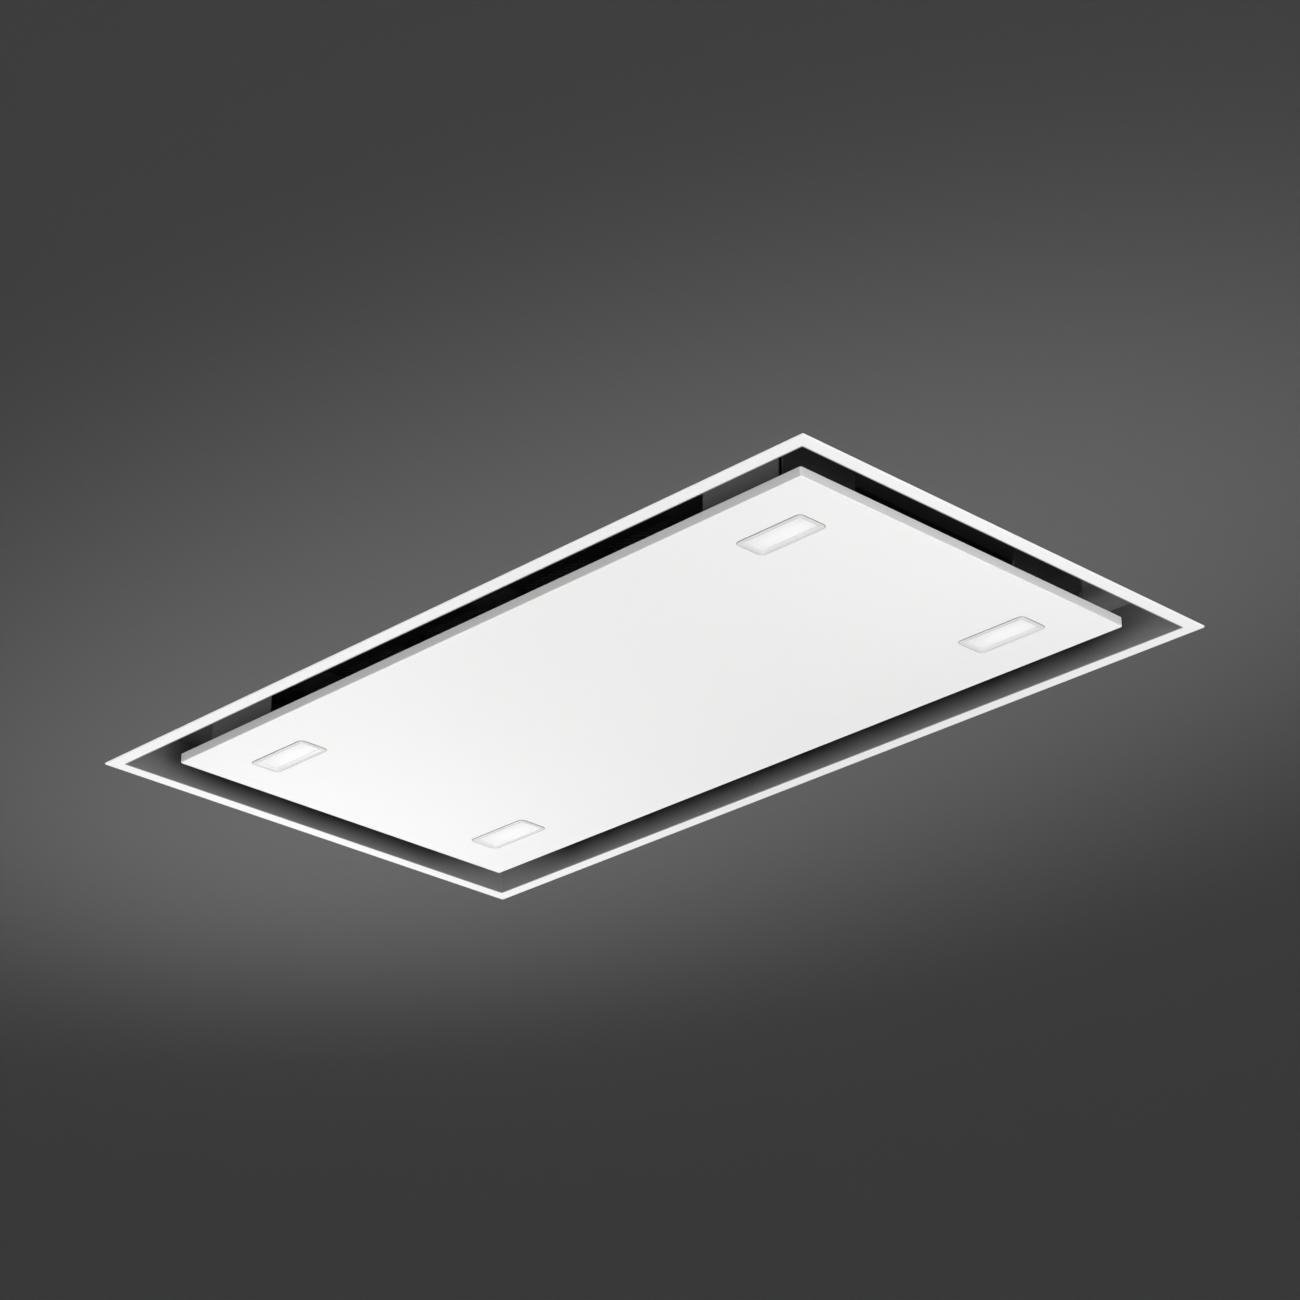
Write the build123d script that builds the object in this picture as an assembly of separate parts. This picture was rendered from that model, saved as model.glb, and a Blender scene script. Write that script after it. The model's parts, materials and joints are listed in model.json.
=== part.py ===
from build123d import *
import os
from math import cos, sin, radians

# Ceiling range hood with perimeter suction. Millimetres. X runs along the long side, Y along the
# short side, Z up. The origin is the centre of the frame's visible face.

# Frame and recess
frame_length, frame_width = 900.0, 500.0
frame_sheet, frame_edge = 1.5, 0.6
frame_corner = 1.5
frame_flange = 12.0  # height of the flange round the rim
visible_border = 14.2  # frame and the rim's edge together, seen from below
steel = 1.2  # sheet of the recess, casing and blower
recess_depth = 42.0
recess_corner = 0.6

# Panel
suction_gap = 35.8  # between the panel and the recess wall
panel_height, panel_sheet = 9.0, 1.0
panel_rise = 1.0  # the panel's face above the frame's face
panel_corner, panel_edge = 2.0, 0.6
panel_return, return_corner = 12.0, 4.0  # flange turned in round the panel's top
stiffener_width, stiffener_end, stiffener_spacing = 50.0, 50.0, 67.0
hat_foot, hat_slope, hat_bend = 5.0, 2.0, 1.6

# Suction opening, with tabs bent down at its corners
tab_inset_x, tab_inset_y = 34.0, 10.0  # from the panel's edge
tab_length = 86.0
tab_joint = 5.0  # open joint between the two tabs of a corner
tab_clear = 3.0  # over the panel
tab_corner, tab_root = 3.0, 10.0

# Lamps
lamp_end, lamp_side = 83.0, 63.0  # from the panel's edges
bezel_length, bezel_width, bezel_lip, bezel_corner = 74.0, 32.0, 0.8, 4.0
bezel_height, bezel_cover = 5.5, 2.0  # height inside the panel, and the lip's cover of the cut-out
bezel_reveal = 2.4  # width of the slope from the lip down to the lens
lens_length, lens_width, lens_thick = 62.6, 20.6, 2.5
lens_recess, lens_border, lens_step = 1.5, 1.2, 0.9  # depth of the lens behind the lip, its rim
lamp_body_height = 18.0
lamp_fins = 9
fin_slot, fin_depth = 3.0, 9.0
clip_sheet, clip_width, clip_height, clip_drop, clip_reach, clip_lift = 0.6, 14.0, 16.0, 6.0, 10.0, 3.0
snug = 0.3  # play between a piece and its cut-out
slip = 0.1  # play between a core and its groove

# Panel hinge and catch
hinge_rise = 7.5  # axis above the panel's top
hinge_length, knuckle_gap, hinge_relief = 50.0, 0.3, 1.5
pin_radius, knuckle_radius = 2.0, 3.8
leaf_sheet, leaf_foot = 1.5, 20.0
leaf_clear = 4.0  # between the fixed leaf and the recess ceiling
running = 0.06  # radial clearance of a turning pin
hinge_mount_width, strike_mount_width, mount_margin = 24.0, 22.0, 5.0
magnet_length, magnet_width, magnet_height, magnet_edge = 44.0, 12.0, 18.0, 1.5
strike_hole = 1.6

# Casing
casing_past_x, casing_past_y = 14.0, 10.0  # wall beyond the tabs
casing_corner = 3.0
casing_flange = 12.0
cover_lip, cover_play = 12.0, 0.3
bead_height, bead_count = 5.0, 7
bead_low, bead_high, bead_margin = 20.0, 30.0, 45.0  # ends above and below, and from the hangers
groove_inset, groove_end, groove_width = 50.0, 80.0, 7.0
groove_depth = 0.6
hanger_inset, hanger_out, hanger_height = 80.0, 17.0, 165.0
hanger_width, hanger_reach, hanger_leg, hanger_sheet = 60.0, 34.0, 60.0, 3.0
hanger_hole, hanger_corner = 4.5, 8.0
gusset_height, gusset_reach, gusset_sheet = 30.0, 24.0, 2.0

# Grease filters
filter_count = 3
filter_side, filter_height, filter_gap = 14.8, 9.0, 1.0  # side is the room at the end walls
filter_border, filter_wall, filter_corner = 12.0, 1.2, 6.0
rail_ledge, rail_sheet = 22.8, 1.5  # ledge width from the casing wall
rail_web, rail_height, rail_lip = 13.8, 14.0, 8.0
lip_clear = 2.0  # over the filter's rear edge
filter_play = 0.6
filter_room = 1.3  # from the filters to the duct above them
latch_width, latch_thick, latch_reach, latch_travel = 24.0, 2.0, 6.0, 7.0
latch_plate, latch_grip, latch_play = 27.0, 12.0, 0.3
latch_nose, grip_corner = 4.0, 5.0
pad_side, pad_wall = 11.0, 1.7  # metal beside and behind the latch
keeper_sheet, keeper_inset, keeper_room = 1.2, 3.0, 1.0

# Blower
blower_x, blower_y = 60.0, 24.0
scroll_height = 106.0
impeller_radius, impeller_rise = 100.0, 14.0  # rise above the scroll's floor
blade_depth, blade_count, blade_sheet, blade_sweep, blade_camber = 15.0, 36, 1.2, 7.0, 2.6
blade_root = 1.0  # blade's ends inside the edges of its rings
ring_thick, plate_thick, plate_gap = 3.0, 2.5, 2.0
volute_gap, volute_step, volute_tongue = 12.0, 16.0, -50.0
tongue_nose = 5.0
outlet_width, outlet_reach = 110.0, 190.0
eye_gap, ring_bell, ring_flange, ring_reach = 1.8, 11.4, 12.0, 4.0
shaft_radius, shaft_gap = 6.0, 1.0
can_radius, can_height, can_flange, can_sheet, can_end, can_edge = 45.0, 56.0, 60.0, 2.0, 2.5, 4.0
hub_hole = 30.0
stator_radius, stator_thick, stator_cone, stator_rim = 52.0, 8.8, 14.0, 3.0
bush_radius, bush_spacing = 9.0, 170.0

# Exhaust
duct_radius, duct_wall = 74.5, 2.0  # a spigot for a 150 mm duct
duct_inside = 27.0  # reach inside the casing's end wall
duct_flange, duct_flange_thick = 5.5, 2.4  # flange beyond the tube
duct_stop, duct_stop_rise, duct_lead, duct_lead_depth = 5.0, 2.0, 3.0, 1.0
adapter_wall, adapter_facets = 2.0, 7  # facets of each corner's fan
damper_depth = 14.0  # pin's distance inside the end wall
damper_sheet, damper_play = 1.2, 0.8
damper_boss, damper_boss_length, damper_tube = 4.5, 3.0, 1.5
damper_bands, damper_end = 4, 1.0
pin_inset = 0.5

# Electrics
junction_width, junction_height, junction_depth = 120.0, 70.0, 50.0
junction_base, junction_wall, junction_corner = 75.0, 2.0, 6.0
post_radius, post_inset = 5.0, 8.0
lid_thick, lid_edge, lid_recess, lid_recess_depth = 2.5, 0.8, 3.0, 1.0
gland_rise = 33.0  # above the junction box's base
gland_bore, gland_thread, gland_hex, gland_hex_height = 4.2, 8.0, 11.0, 6.0
gland_nut, gland_nut_height, gland_dome, gland_stem = 9.5, 8.0, 3.5, 4.0
gland_dome_height = 6.0
control_length, control_depth, control_height = 200.0, 96.0, 86.0
control_end, control_clear, control_edge = 18.8, 10.3, 5.0  # from the end wall and over the filters
seam_inset, seam_width, seam_depth = 14.0, 1.2, 1.0
socket_count, socket_length, socket_pitch, socket_height, socket_depth = 4, 24.0, 36.0, 14.0, 6.0
socket_start, socket_rise = 30.0, 18.0
ear_length, ear_height, ear_sheet = 10.0, 20.0, 3.0
capacitor_radius, capacitor_height, capacitor_offset = 18.0, 48.0, 60.0
can_bead, can_well = 2.0, 1.5
terminal_width, terminal_sheet, terminal_height, terminal_spacing = 6.0, 0.8, 5.0, 10.0
driver_length, driver_depth, driver_height = 140.0, 40.0, 28.0
driver_end, driver_clear, driver_edge, driver_hole = 38.8, 26.3, 3.0, 2.2

# Fasteners
screw_head, screw_rise = 4.0, 2.4
casing_screw_count, casing_screw_end, casing_screw_side = 4, 50.0, 80.0
cover_screw_count, cover_screw_end = 3, 40.0

# Worked out from the sizes above
recess_x = frame_length / 2 - visible_border
recess_y = frame_width / 2 - visible_border
rim_x, rim_y = recess_x + steel, recess_y + steel
plate_top = recess_depth + steel
panel_x, panel_y = recess_x - suction_gap, recess_y - suction_gap
panel_inside = panel_rise + panel_sheet
panel_top = panel_rise + panel_height
stiffener_length = 2 * (panel_x - stiffener_end)
lamp_x, lamp_y = panel_x - lamp_end, panel_y - lamp_side
cutout_length, cutout_width = bezel_length - 2 * bezel_cover, bezel_width - 2 * bezel_cover
well_length, well_width = cutout_length - 2 * snug, cutout_width - 2 * snug
bezel_top = panel_inside + bezel_height
lip_face = panel_rise - bezel_lip
lens_face = lip_face + lens_recess
lens_base = lens_face + lens_step
tab_x, tab_y = panel_x - tab_inset_x, panel_y - tab_inset_y
tab_inner_x, tab_inner_y = tab_x - steel, tab_y - steel
tab_bottom = panel_top + tab_clear
tab_middle = tab_x - tab_length / 2
hinge_y, hinge_z = tab_inner_y - knuckle_radius, panel_top + hinge_rise
casing_x, casing_y = tab_x + casing_past_x, tab_y + casing_past_y
wall_x, wall_y = casing_x - steel, casing_y - steel  # inner faces of the casing
ledge_top = plate_top + rail_sheet
ledge_y, web_y = wall_y - rail_ledge, wall_y - rail_web
filter_width = (2 * (wall_x - filter_side) - (filter_count - 1) * filter_gap) / filter_count
filter_front, filter_rear = -ledge_y + filter_play, web_y - filter_play
filter_length = filter_rear - filter_front
filter_middle = (filter_front + filter_rear) / 2
filter_top = ledge_top + filter_height
latch_bottom = ledge_top + latch_play
latch_front = filter_front - latch_reach
latch_rear = latch_front + latch_plate
pocket_rear = latch_rear + latch_travel + latch_play
pocket_top = latch_bottom + latch_thick + latch_play
pad_rear = pocket_rear + pad_wall
pad_width = latch_width + 2 * pad_side
duct_z = filter_top + filter_room + duct_radius + snug + steel
scroll_base, scroll_top = duct_z - scroll_height / 2, duct_z + scroll_height / 2
flange_radius = duct_radius + duct_flange
lid_under = duct_z + flange_radius + snug + cover_lip
casing_top = lid_under + steel
stator_low = scroll_top - steel - stator_thick
impeller_bottom = scroll_base + impeller_rise
impeller_top = stator_low - plate_gap
impeller_inner = impeller_radius - blade_depth
ring_throat = impeller_inner - eye_gap - steel
ring_top = impeller_bottom + ring_reach
can_top = impeller_top - plate_thick
can_bottom = can_top - can_height
shaft_end = can_bottom + can_end + shaft_gap
volute_start = impeller_radius + volute_gap
volute_end = volute_start + 3 * volute_step
outlet_end = blower_x + outlet_reach
outlet_low = blower_y - volute_step / 2 - volute_end
duct_y = outlet_low + outlet_width / 2
duct_inner = duct_radius - duct_wall
flap_radius = duct_inner - damper_play
damper_x = casing_x - damper_depth
duct_start, duct_end = casing_x - duct_inside, damper_x + duct_inner
damper_span = duct_inner - damper_boss_length - damper_end
hanger_x, hanger_y = casing_x - hanger_inset, casing_y + hanger_out
junction_face = -casing_x - junction_depth
gland_x, gland_z = -casing_x - junction_depth / 2, junction_base + gland_rise
control_base = filter_top + control_clear
control_top = control_base + control_height
control_x = control_end + control_length / 2 - wall_x
driver_base = filter_top + driver_clear
driver_x = driver_end + driver_length / 2 - wall_x


def block(x0, x1, y0, y1, z0, z1):
    """A block between two corners."""
    return Pos((x0 + x1) / 2, (y0 + y1) / 2, (z0 + z1) / 2) * Box(x1 - x0, y1 - y0, z1 - z0)


def tray(length, width, corner, z0, z1):
    """A rounded rectangle about the origin, raised from z0 to z1."""
    return Pos(0, 0, z0) * extrude(RectangleRounded(length, width, corner), z1 - z0)


def plain_tray(length, width, z0, z1):
    """The same with sharp corners."""
    return block(-length / 2, length / 2, -width / 2, width / 2, z0, z1)


def along_x(face, x0, x1):
    """A face drawn in Y and Z, extruded from x0 to x1."""
    return Pos(x0, 0, 0) * extrude(Plane.YZ * face, x1 - x0)


def turned(*points):
    """A solid of revolution about Z, from the (radius, height) points of its section."""
    return revolve(Plane.XZ * make_face(Polyline(*points, close=True)), Axis.Z)


def facing_x(radius, height):
    """A cylinder along X about the origin."""
    return Rot(0, 90, 0) * Cylinder(radius, height)


def spread(count, end):
    """Evenly spaced places from -end to end."""
    return [end * (2 * k / (count - 1) - 1) for k in range(count)]


def mirrored_x(part):
    return [part, mirror(part, about=Plane.YZ)]


def mirrored_y(part):
    return [part, mirror(part, about=Plane.XZ)]


def at_corners(part):
    return [copy for side in mirrored_x(part) for copy in mirrored_y(side)]


def save(name, *pieces):
    solids = [solid for piece in pieces for solid in piece.solids()]
    shape = solids[0] if len(solids) == 1 else Compound(solids)
    export_step(shape, f"parts/{name}.step")


# Frame and recess

def ceiling_frame():
    border = tray(frame_length, frame_width, frame_corner, 0, frame_sheet)
    border = chamfer(border.faces().sort_by(Axis.Z)[0].edges(), frame_edge)
    corner = recess_corner + steel
    flange = tray(2 * (rim_x + frame_sheet), 2 * (rim_y + frame_sheet), corner + frame_sheet, 0, frame_flange)
    return border + flange - tray(2 * rim_x, 2 * rim_y, corner, 0, frame_flange)


def recess_rim():
    wall = tray(2 * rim_x, 2 * rim_y, recess_corner + steel, 0, recess_depth)
    return wall - tray(2 * recess_x, 2 * recess_y, recess_corner, 0, recess_depth)


def tab(low, high, face):
    """A tab bent down from the recess ceiling, from low to high along X, with its outside at y = face."""
    height = plate_top - tab_bottom
    place = Pos((low + high) / 2, (tab_bottom + plate_top) / 2)
    rounded = place * RectangleRounded(high - low, height, tab_corner)
    root = place * Pos(0, (height - tab_root) / 2) * Rectangle(high - low, tab_root)
    return Pos(0, face, 0) * extrude(Plane.XZ * (rounded + root), steel)


def hinge_notch():
    """The cut in a rear tab that lets the moving knuckle and its leaf swing."""
    half = hinge_length / 4 + hinge_relief
    top = hinge_z + knuckle_radius + hinge_relief
    return block(tab_middle - half, tab_middle + half, tab_inner_y - steel, tab_y + steel, 0, top)


def inlet_plate():
    """The recess ceiling with its opening and eight tabs."""
    plate = tray(2 * rim_x, 2 * rim_y, recess_corner + steel, recess_depth, plate_top)
    plate -= plain_tray(2 * tab_inner_x, 2 * tab_inner_y, recess_depth, plate_top)
    long_tab = tab(tab_x - tab_length, tab_x, tab_y)
    short_reach = tab_y - tab_joint
    short_tab = Rot(0, 0, -90) * tab(-short_reach, tab_length - short_reach, tab_x)
    rear = mirrored_x(long_tab - hinge_notch())
    front = mirrored_x(mirror(long_tab, about=Plane.XZ))
    for piece in rear + front + at_corners(short_tab):
        plate += piece
    return plate


# Panel and lamps

def lamp_spots():
    return [(x, y) for x in (-lamp_x, lamp_x) for y in (-lamp_y, lamp_y)]


def panel_tray():
    """The sheet-metal panel, with a low wall and a flange turned in all round, and four cut-outs."""
    length, width = 2 * panel_x, 2 * panel_y
    shell = tray(length, width, panel_corner, panel_rise, panel_top)
    shell = chamfer(shell.faces().sort_by(Axis.Z)[0].edges(), panel_edge)
    shell -= tray(length - 2 * panel_sheet, width - 2 * panel_sheet, panel_corner - panel_sheet,
                  panel_inside, panel_top - panel_sheet)
    shell -= tray(length - 2 * panel_return, width - 2 * panel_return, return_corner,
                  panel_top - panel_sheet, panel_top)
    for x, y in lamp_spots():
        shell -= Pos(x, y, 0) * plain_tray(cutout_length, cutout_width, 0, panel_inside)
    return shell


def hat_section(width, length):
    """A folded hat section that fills the panel from its inside to its top."""
    low, high = panel_inside + panel_sheet / 2, panel_top - panel_sheet / 2
    foot, crown = width / 2 - hat_foot, width / 2 - hat_foot - hat_slope
    line = FilletPolyline((-width / 2, low), (-foot, low), (-crown, high), (crown, high), (foot, low),
                          (width / 2, low), radius=hat_bend)
    return along_x(trace(line, panel_sheet), -length / 2, length / 2)


def panel_stiffeners():
    return mirrored_y(Pos(0, lamp_y - stiffener_spacing, 0) * hat_section(stiffener_width, stiffener_length))


def hinge_mounts():
    """The hat sections under the hinges, and those under the strike plates."""
    length = hinge_length + 2 * mount_margin
    hinge_side = hinge_y + knuckle_radius - 2 - hinge_mount_width / 2
    under_hinge = Pos(tab_middle, hinge_side, 0) * hat_section(hinge_mount_width, length)
    under_strike = Pos(tab_middle, strike_y(), 0) * hat_section(strike_mount_width, length)
    return mirrored_x(under_hinge) + mirrored_x(under_strike)


def lamp_bezel():
    """A rectangular ring whose lip covers the cut-out, sloping in to a rebated lens."""
    lip = tray(bezel_length, bezel_width, bezel_corner, lip_face, panel_rise)
    lip = chamfer(lip.faces().sort_by(Axis.Z)[0].edges(), bezel_lip / 2)
    bezel = lip + plain_tray(well_length, well_width, panel_rise, bezel_top)
    bezel -= plain_tray(lens_length, lens_width, 0, bezel_top)
    wide = Rectangle(lens_length + 2 * bezel_reveal, lens_width + 2 * bezel_reveal)
    bezel -= loft([Pos(0, 0, lip_face) * wide, Pos(0, 0, lens_face) * Rectangle(lens_length, lens_width)],
                  ruled=True)
    rebate = plain_tray(lens_length + 2 * lens_border, lens_width + 2 * lens_border, lens_base, bezel_top)
    return bezel - rebate


def lamp_lens():
    window = plain_tray(lens_length - 2 * slip, lens_width - 2 * slip, lens_face, lens_base)
    border = lens_border - slip
    return window + plain_tray(lens_length + 2 * border, lens_width + 2 * border, lens_base,
                               lens_base + lens_thick)


def lamp_housing():
    """A finned aluminium body that closes the bezel behind the lens."""
    top = bezel_top + lamp_body_height
    border = lens_border - slip
    plug = plain_tray(lens_length + 2 * border, lens_width + 2 * border, lens_base + lens_thick, bezel_top)
    body = plain_tray(well_length, well_width, bezel_top, top)
    for x in spread(lamp_fins - 1, well_length / 2 - well_length / lamp_fins):
        body -= block(x - fin_slot / 2, x + fin_slot / 2, -well_width, well_width, top - fin_depth, top)
    return plug + body


def lamp_clips():
    """A bent leaf spring at each end of every lamp, which presses on the panel's inside."""
    side = well_length / 2 + clip_sheet / 2
    top, touch = panel_inside + clip_height, panel_inside + snug + clip_sheet / 2
    line = FilletPolyline((side, top), (side, top - clip_drop), (side + clip_reach, touch),
                          (side + clip_reach + clip_lift, touch + clip_lift), radius=clip_sheet)
    leaf = extrude(Plane.XZ * trace(line, clip_sheet), clip_width / 2, both=True)
    return [Pos(x, y, 0) * clip for x, y in lamp_spots() for clip in mirrored_x(leaf)]


# Hinge and catch

def knuckle(x0, x1, bore):
    return along_x(Pos(hinge_y, hinge_z) * (Circle(knuckle_radius) - Circle(bore)), x0, x1)


def pin_shape(radius):
    return along_x(Pos(hinge_y, hinge_z) * Circle(radius), -hinge_length / 2, hinge_length / 2)


def hinge_leaf_fixed():
    """The leaf on the tab, with a knuckle at each end of the pin."""
    half, middle = hinge_length / 2, hinge_length / 4 + knuckle_gap
    leaf = block(-half, half, tab_inner_y - leaf_sheet, tab_inner_y, hinge_z, recess_depth - leaf_clear)
    leaf -= block(-middle, middle, hinge_y, tab_y, 0, hinge_z + knuckle_radius + hinge_relief)
    leaf -= pin_shape(pin_radius)
    return leaf + knuckle(-half, -middle, pin_radius) + knuckle(middle, half, pin_radius)


def hinge_leaf_moving():
    """The leaf on the panel, with the middle knuckle."""
    middle = hinge_length / 4
    face = hinge_y - knuckle_radius
    web = block(-middle, middle, face, face + leaf_sheet, panel_top, hinge_z)
    foot = block(-middle, middle, face + leaf_sheet - leaf_foot, face, panel_top, panel_top + leaf_sheet)
    bore = pin_radius + running
    return web + foot + knuckle(-middle, middle, bore) - pin_shape(bore)


def catch_magnet():
    """A magnet block on the inside of a front tab."""
    half, top = magnet_length / 2, tab_bottom + magnet_height
    body = block(-half, half, -tab_inner_y, magnet_width - tab_inner_y, tab_bottom, top)
    return chamfer(body.edges().filter_by(Axis.Z), magnet_edge)


def strike_y():
    return magnet_width / 2 - tab_inner_y


def strike_plate():
    """The steel plate on the panel that the magnet holds."""
    sheet = tab_clear - snug
    plate = Pos(0, strike_y(), 0) * plain_tray(magnet_length, 2 * magnet_width, panel_top, panel_top + sheet)
    plate = chamfer(plate.edges().filter_by(Axis.Z), magnet_edge)
    hole_y = strike_y() + magnet_width - 2 * strike_hole
    return plate - Pos(0, hole_y, panel_top) * Cylinder(strike_hole, 4 * sheet)


# Grease filters

def filter_rails():
    """The front rail is an angle, and the rear one has a web and a lip over the filter's edge."""
    wall, wall_top = wall_y - rail_sheet, ledge_top + rail_height
    front = Polyline((-wall_y, plate_top), (-ledge_y, plate_top), (-ledge_y, ledge_top),
                     (-wall, ledge_top), (-wall, wall_top), (-wall_y, wall_top), close=True)
    lip, lip_y = filter_top + lip_clear, web_y - rail_lip
    rear = Polyline((ledge_y, plate_top), (wall_y, plate_top), (wall_y, wall_top), (wall, wall_top),
                    (wall, ledge_top), (web_y + rail_sheet, ledge_top),
                    (web_y + rail_sheet, lip + rail_sheet), (lip_y, lip + rail_sheet), (lip_y, lip),
                    (web_y, lip), (web_y, ledge_top), (ledge_y, ledge_top), close=True)
    half = wall_x - casing_corner
    return along_x(make_face(front), -half, half), along_x(make_face(rear), -half, half)


def latch_pad(play):
    """The solid part of the filter's front border that carries the latch."""
    half = pad_width / 2 + play
    return block(-half, half, filter_front, pad_rear + play, ledge_top, filter_top)


def filter_groove(play):
    """The space for the mesh core inside the frame, less a play all round."""
    wall = filter_wall + play
    space = plain_tray(filter_width - 2 * wall, filter_length - 2 * wall, ledge_top + wall, filter_top - wall)
    return Pos(0, filter_middle, 0) * space - latch_pad(play)


def filter_frame():
    middle = Pos(0, filter_middle, 0)
    frame = middle * tray(filter_width, filter_length, filter_corner, ledge_top, filter_top)
    window = middle * plain_tray(filter_width - 2 * filter_border, filter_length - 2 * filter_border,
                                 ledge_top, filter_top)
    pocket_half = latch_width / 2 + latch_play
    pocket = block(-pocket_half, pocket_half, filter_front - 1, pocket_rear, plate_top, pocket_top)
    return frame - (window - latch_pad(0)) - filter_groove(0) - pocket


def filter_core():
    return filter_groove(slip)


def filter_latch():
    """A flat bolt with a rounded nose, and a finger grip folded down behind it."""
    half = latch_width / 2
    bolt = block(-half, half, latch_front, latch_rear, latch_bottom, latch_bottom + latch_thick)
    bolt = fillet(bolt.edges().filter_by(Axis.Z).group_by(Axis.Y)[0], latch_nose)
    grip = block(-half, half, latch_rear - latch_thick, latch_rear, latch_bottom - latch_grip,
                 latch_bottom + latch_thick)
    grip = fillet(grip.edges().filter_by(Axis.Y).group_by(Axis.Z)[0], grip_corner)
    return bolt + grip


def latch_keeper():
    """A plate under the latch, slotted for the grip."""
    front = filter_front + keeper_inset
    keeper = block(-pad_width / 2, pad_width / 2, front, pad_rear, ledge_top - keeper_sheet, ledge_top)
    half = latch_width / 2 + keeper_room
    return keeper - block(-half, half, latch_rear - latch_thick - keeper_room, pad_rear, plate_top, ledge_top)


def filter_places():
    return spread(filter_count, (filter_count - 1) * (filter_width + filter_gap) / 2)


# Casing

def wall_beads(height):
    """Upright V beads in the casing's long walls, between the hangers."""
    low, high = plate_top + bead_low, lid_under - bead_high
    bead = Pos(0, 0, low) * extrude(RegularPolygon(height, 4), high - low)
    end = hanger_x - hanger_width / 2 - bead_margin
    return [Pos(x, y, 0) * bead for x in spread(bead_count, end) for y in (-casing_y, casing_y)]


def casing_shell():
    flange = 2 * casing_flange
    shell = tray(2 * casing_x, 2 * casing_y, casing_corner, plate_top, lid_under)
    shell += tray(2 * casing_x + flange, 2 * casing_y + flange, casing_corner, plate_top, plate_top + steel)
    shell += wall_beads(bead_height)
    shell -= tray(2 * wall_x, 2 * wall_y, casing_corner - steel, plate_top, lid_under - steel)
    shell -= tray(2 * wall_x - flange, 2 * wall_y - flange, casing_corner, lid_under - steel, lid_under)
    shell -= Pos(casing_x, duct_y, duct_z) * facing_x(duct_radius + snug, casing_flange)
    shell -= Pos(-casing_x, 0, gland_z) * facing_x(gland_thread, casing_flange)
    return shell - wall_beads(bead_height - 2 * steel)


def casing_cover():
    """The cover, with a lip round the casing's top and four shallow swages."""
    outer_x, outer_y = casing_x + cover_play + steel, casing_y + cover_play + steel
    low = lid_under - cover_lip
    cover = tray(2 * outer_x, 2 * outer_y, casing_corner + steel, low, casing_top)
    cover = chamfer(cover.faces().sort_by(Axis.Z)[-1].edges(), steel / 2)
    cover -= tray(2 * (outer_x - steel), 2 * (outer_y - steel), casing_corner, low, lid_under)
    long_groove = SlotOverall(2 * (casing_x - groove_end), groove_width)
    short_groove = SlotOverall(2 * (casing_y - groove_end - groove_width), groove_width, rotation=90)
    grooves = [Pos(0, y) * long_groove for y in (groove_inset - casing_y, casing_y - groove_inset)]
    grooves += [Pos(x, 0) * short_groove for x in (groove_end - casing_x, casing_x - groove_end)]
    for groove in grooves:
        cover -= Pos(0, 0, casing_top - groove_depth) * extrude(groove, groove_depth)
    return cover


def hanger_bracket():
    """An angle with two gussets: one leg on the casing wall, the other with the hanger's hole."""
    half, top = hanger_width / 2, hanger_height + hanger_sheet
    arm = block(-half, half, casing_y, casing_y + hanger_reach, hanger_height, top)
    arm = chamfer(arm.edges().filter_by(Axis.Z).group_by(Axis.Y)[-1], hanger_corner)
    leg = block(-half, half, casing_y, casing_y + hanger_sheet, hanger_height - hanger_leg, top)
    leg = chamfer(leg.edges().filter_by(Axis.Y).group_by(Axis.Z)[0], hanger_corner)
    gusset = make_face(Polyline(
        (casing_y, hanger_height - gusset_height), (casing_y + gusset_reach, hanger_height),
        (casing_y, hanger_height), close=True))
    bracket = arm + leg
    for x in (-half, half - gusset_sheet):
        bracket += along_x(gusset, x, x + gusset_sheet)
    bracket -= Pos(0, hanger_y, hanger_height) * Cylinder(hanger_hole, 4 * hanger_sheet)
    return Pos(hanger_x, 0, 0) * bracket


def hex_head():
    """A screw's hexagon head that points up from the origin."""
    return extrude(RegularPolygon(screw_head, 6), screw_rise)


def casing_screws():
    z = plate_top + steel
    y, x_end = casing_y + casing_flange / 2, casing_x + casing_flange / 2
    long_x = spread(casing_screw_count, casing_x - casing_screw_end)
    end_y = casing_y - casing_screw_side
    places = [(x, side * y) for x in long_x for side in (-1, 1)]
    places += [(side * x_end, y_side) for y_side in (-end_y, end_y) for side in (-1, 1)]
    return [Pos(x, y_place, z) * hex_head() for x, y_place in places]


def cover_screws():
    z = lid_under - cover_lip / 2
    y = casing_y + cover_play + steel
    row = spread(cover_screw_count, casing_x - cover_screw_end)
    return [Pos(x, side * y, z) * Rot(-90 * side, 0, 0) * hex_head() for x in row for side in (-1, 1)]


# Blower

def volute():
    """The inside of the scroll: quarter arcs whose centres step round a small square."""
    half = volute_step / 2
    centres = [(half, half), (-half, half), (-half, -half), (half, -half)]
    angles = [volute_tongue, 0, 90, 180, 270]
    arcs = []
    for k, (x, y) in enumerate(centres):
        centre = (blower_x + x, blower_y + y)
        arcs.append(CenterArc(centre, volute_start + k * volute_step, angles[k], angles[k + 1] - angles[k]))
    bottom, tongue = arcs[-1] @ 1, arcs[0] @ 0
    low, high = (outlet_end, outlet_low), (outlet_end, outlet_low + outlet_width)
    inside = make_face(Curve() + arcs + [Line(bottom, low), Line(low, high), Line(high, tongue)])
    return fillet(inside.vertices().sort_by_distance(tongue)[0], tongue_nose)


def beyond_outlet():
    """Everything past the scroll's outlet, where its end is cut open."""
    margin = 2 * steel
    return block(outlet_end, outlet_end + 2 * margin, outlet_low - margin, outlet_low + outlet_width + margin,
                 scroll_base, scroll_top)


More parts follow.
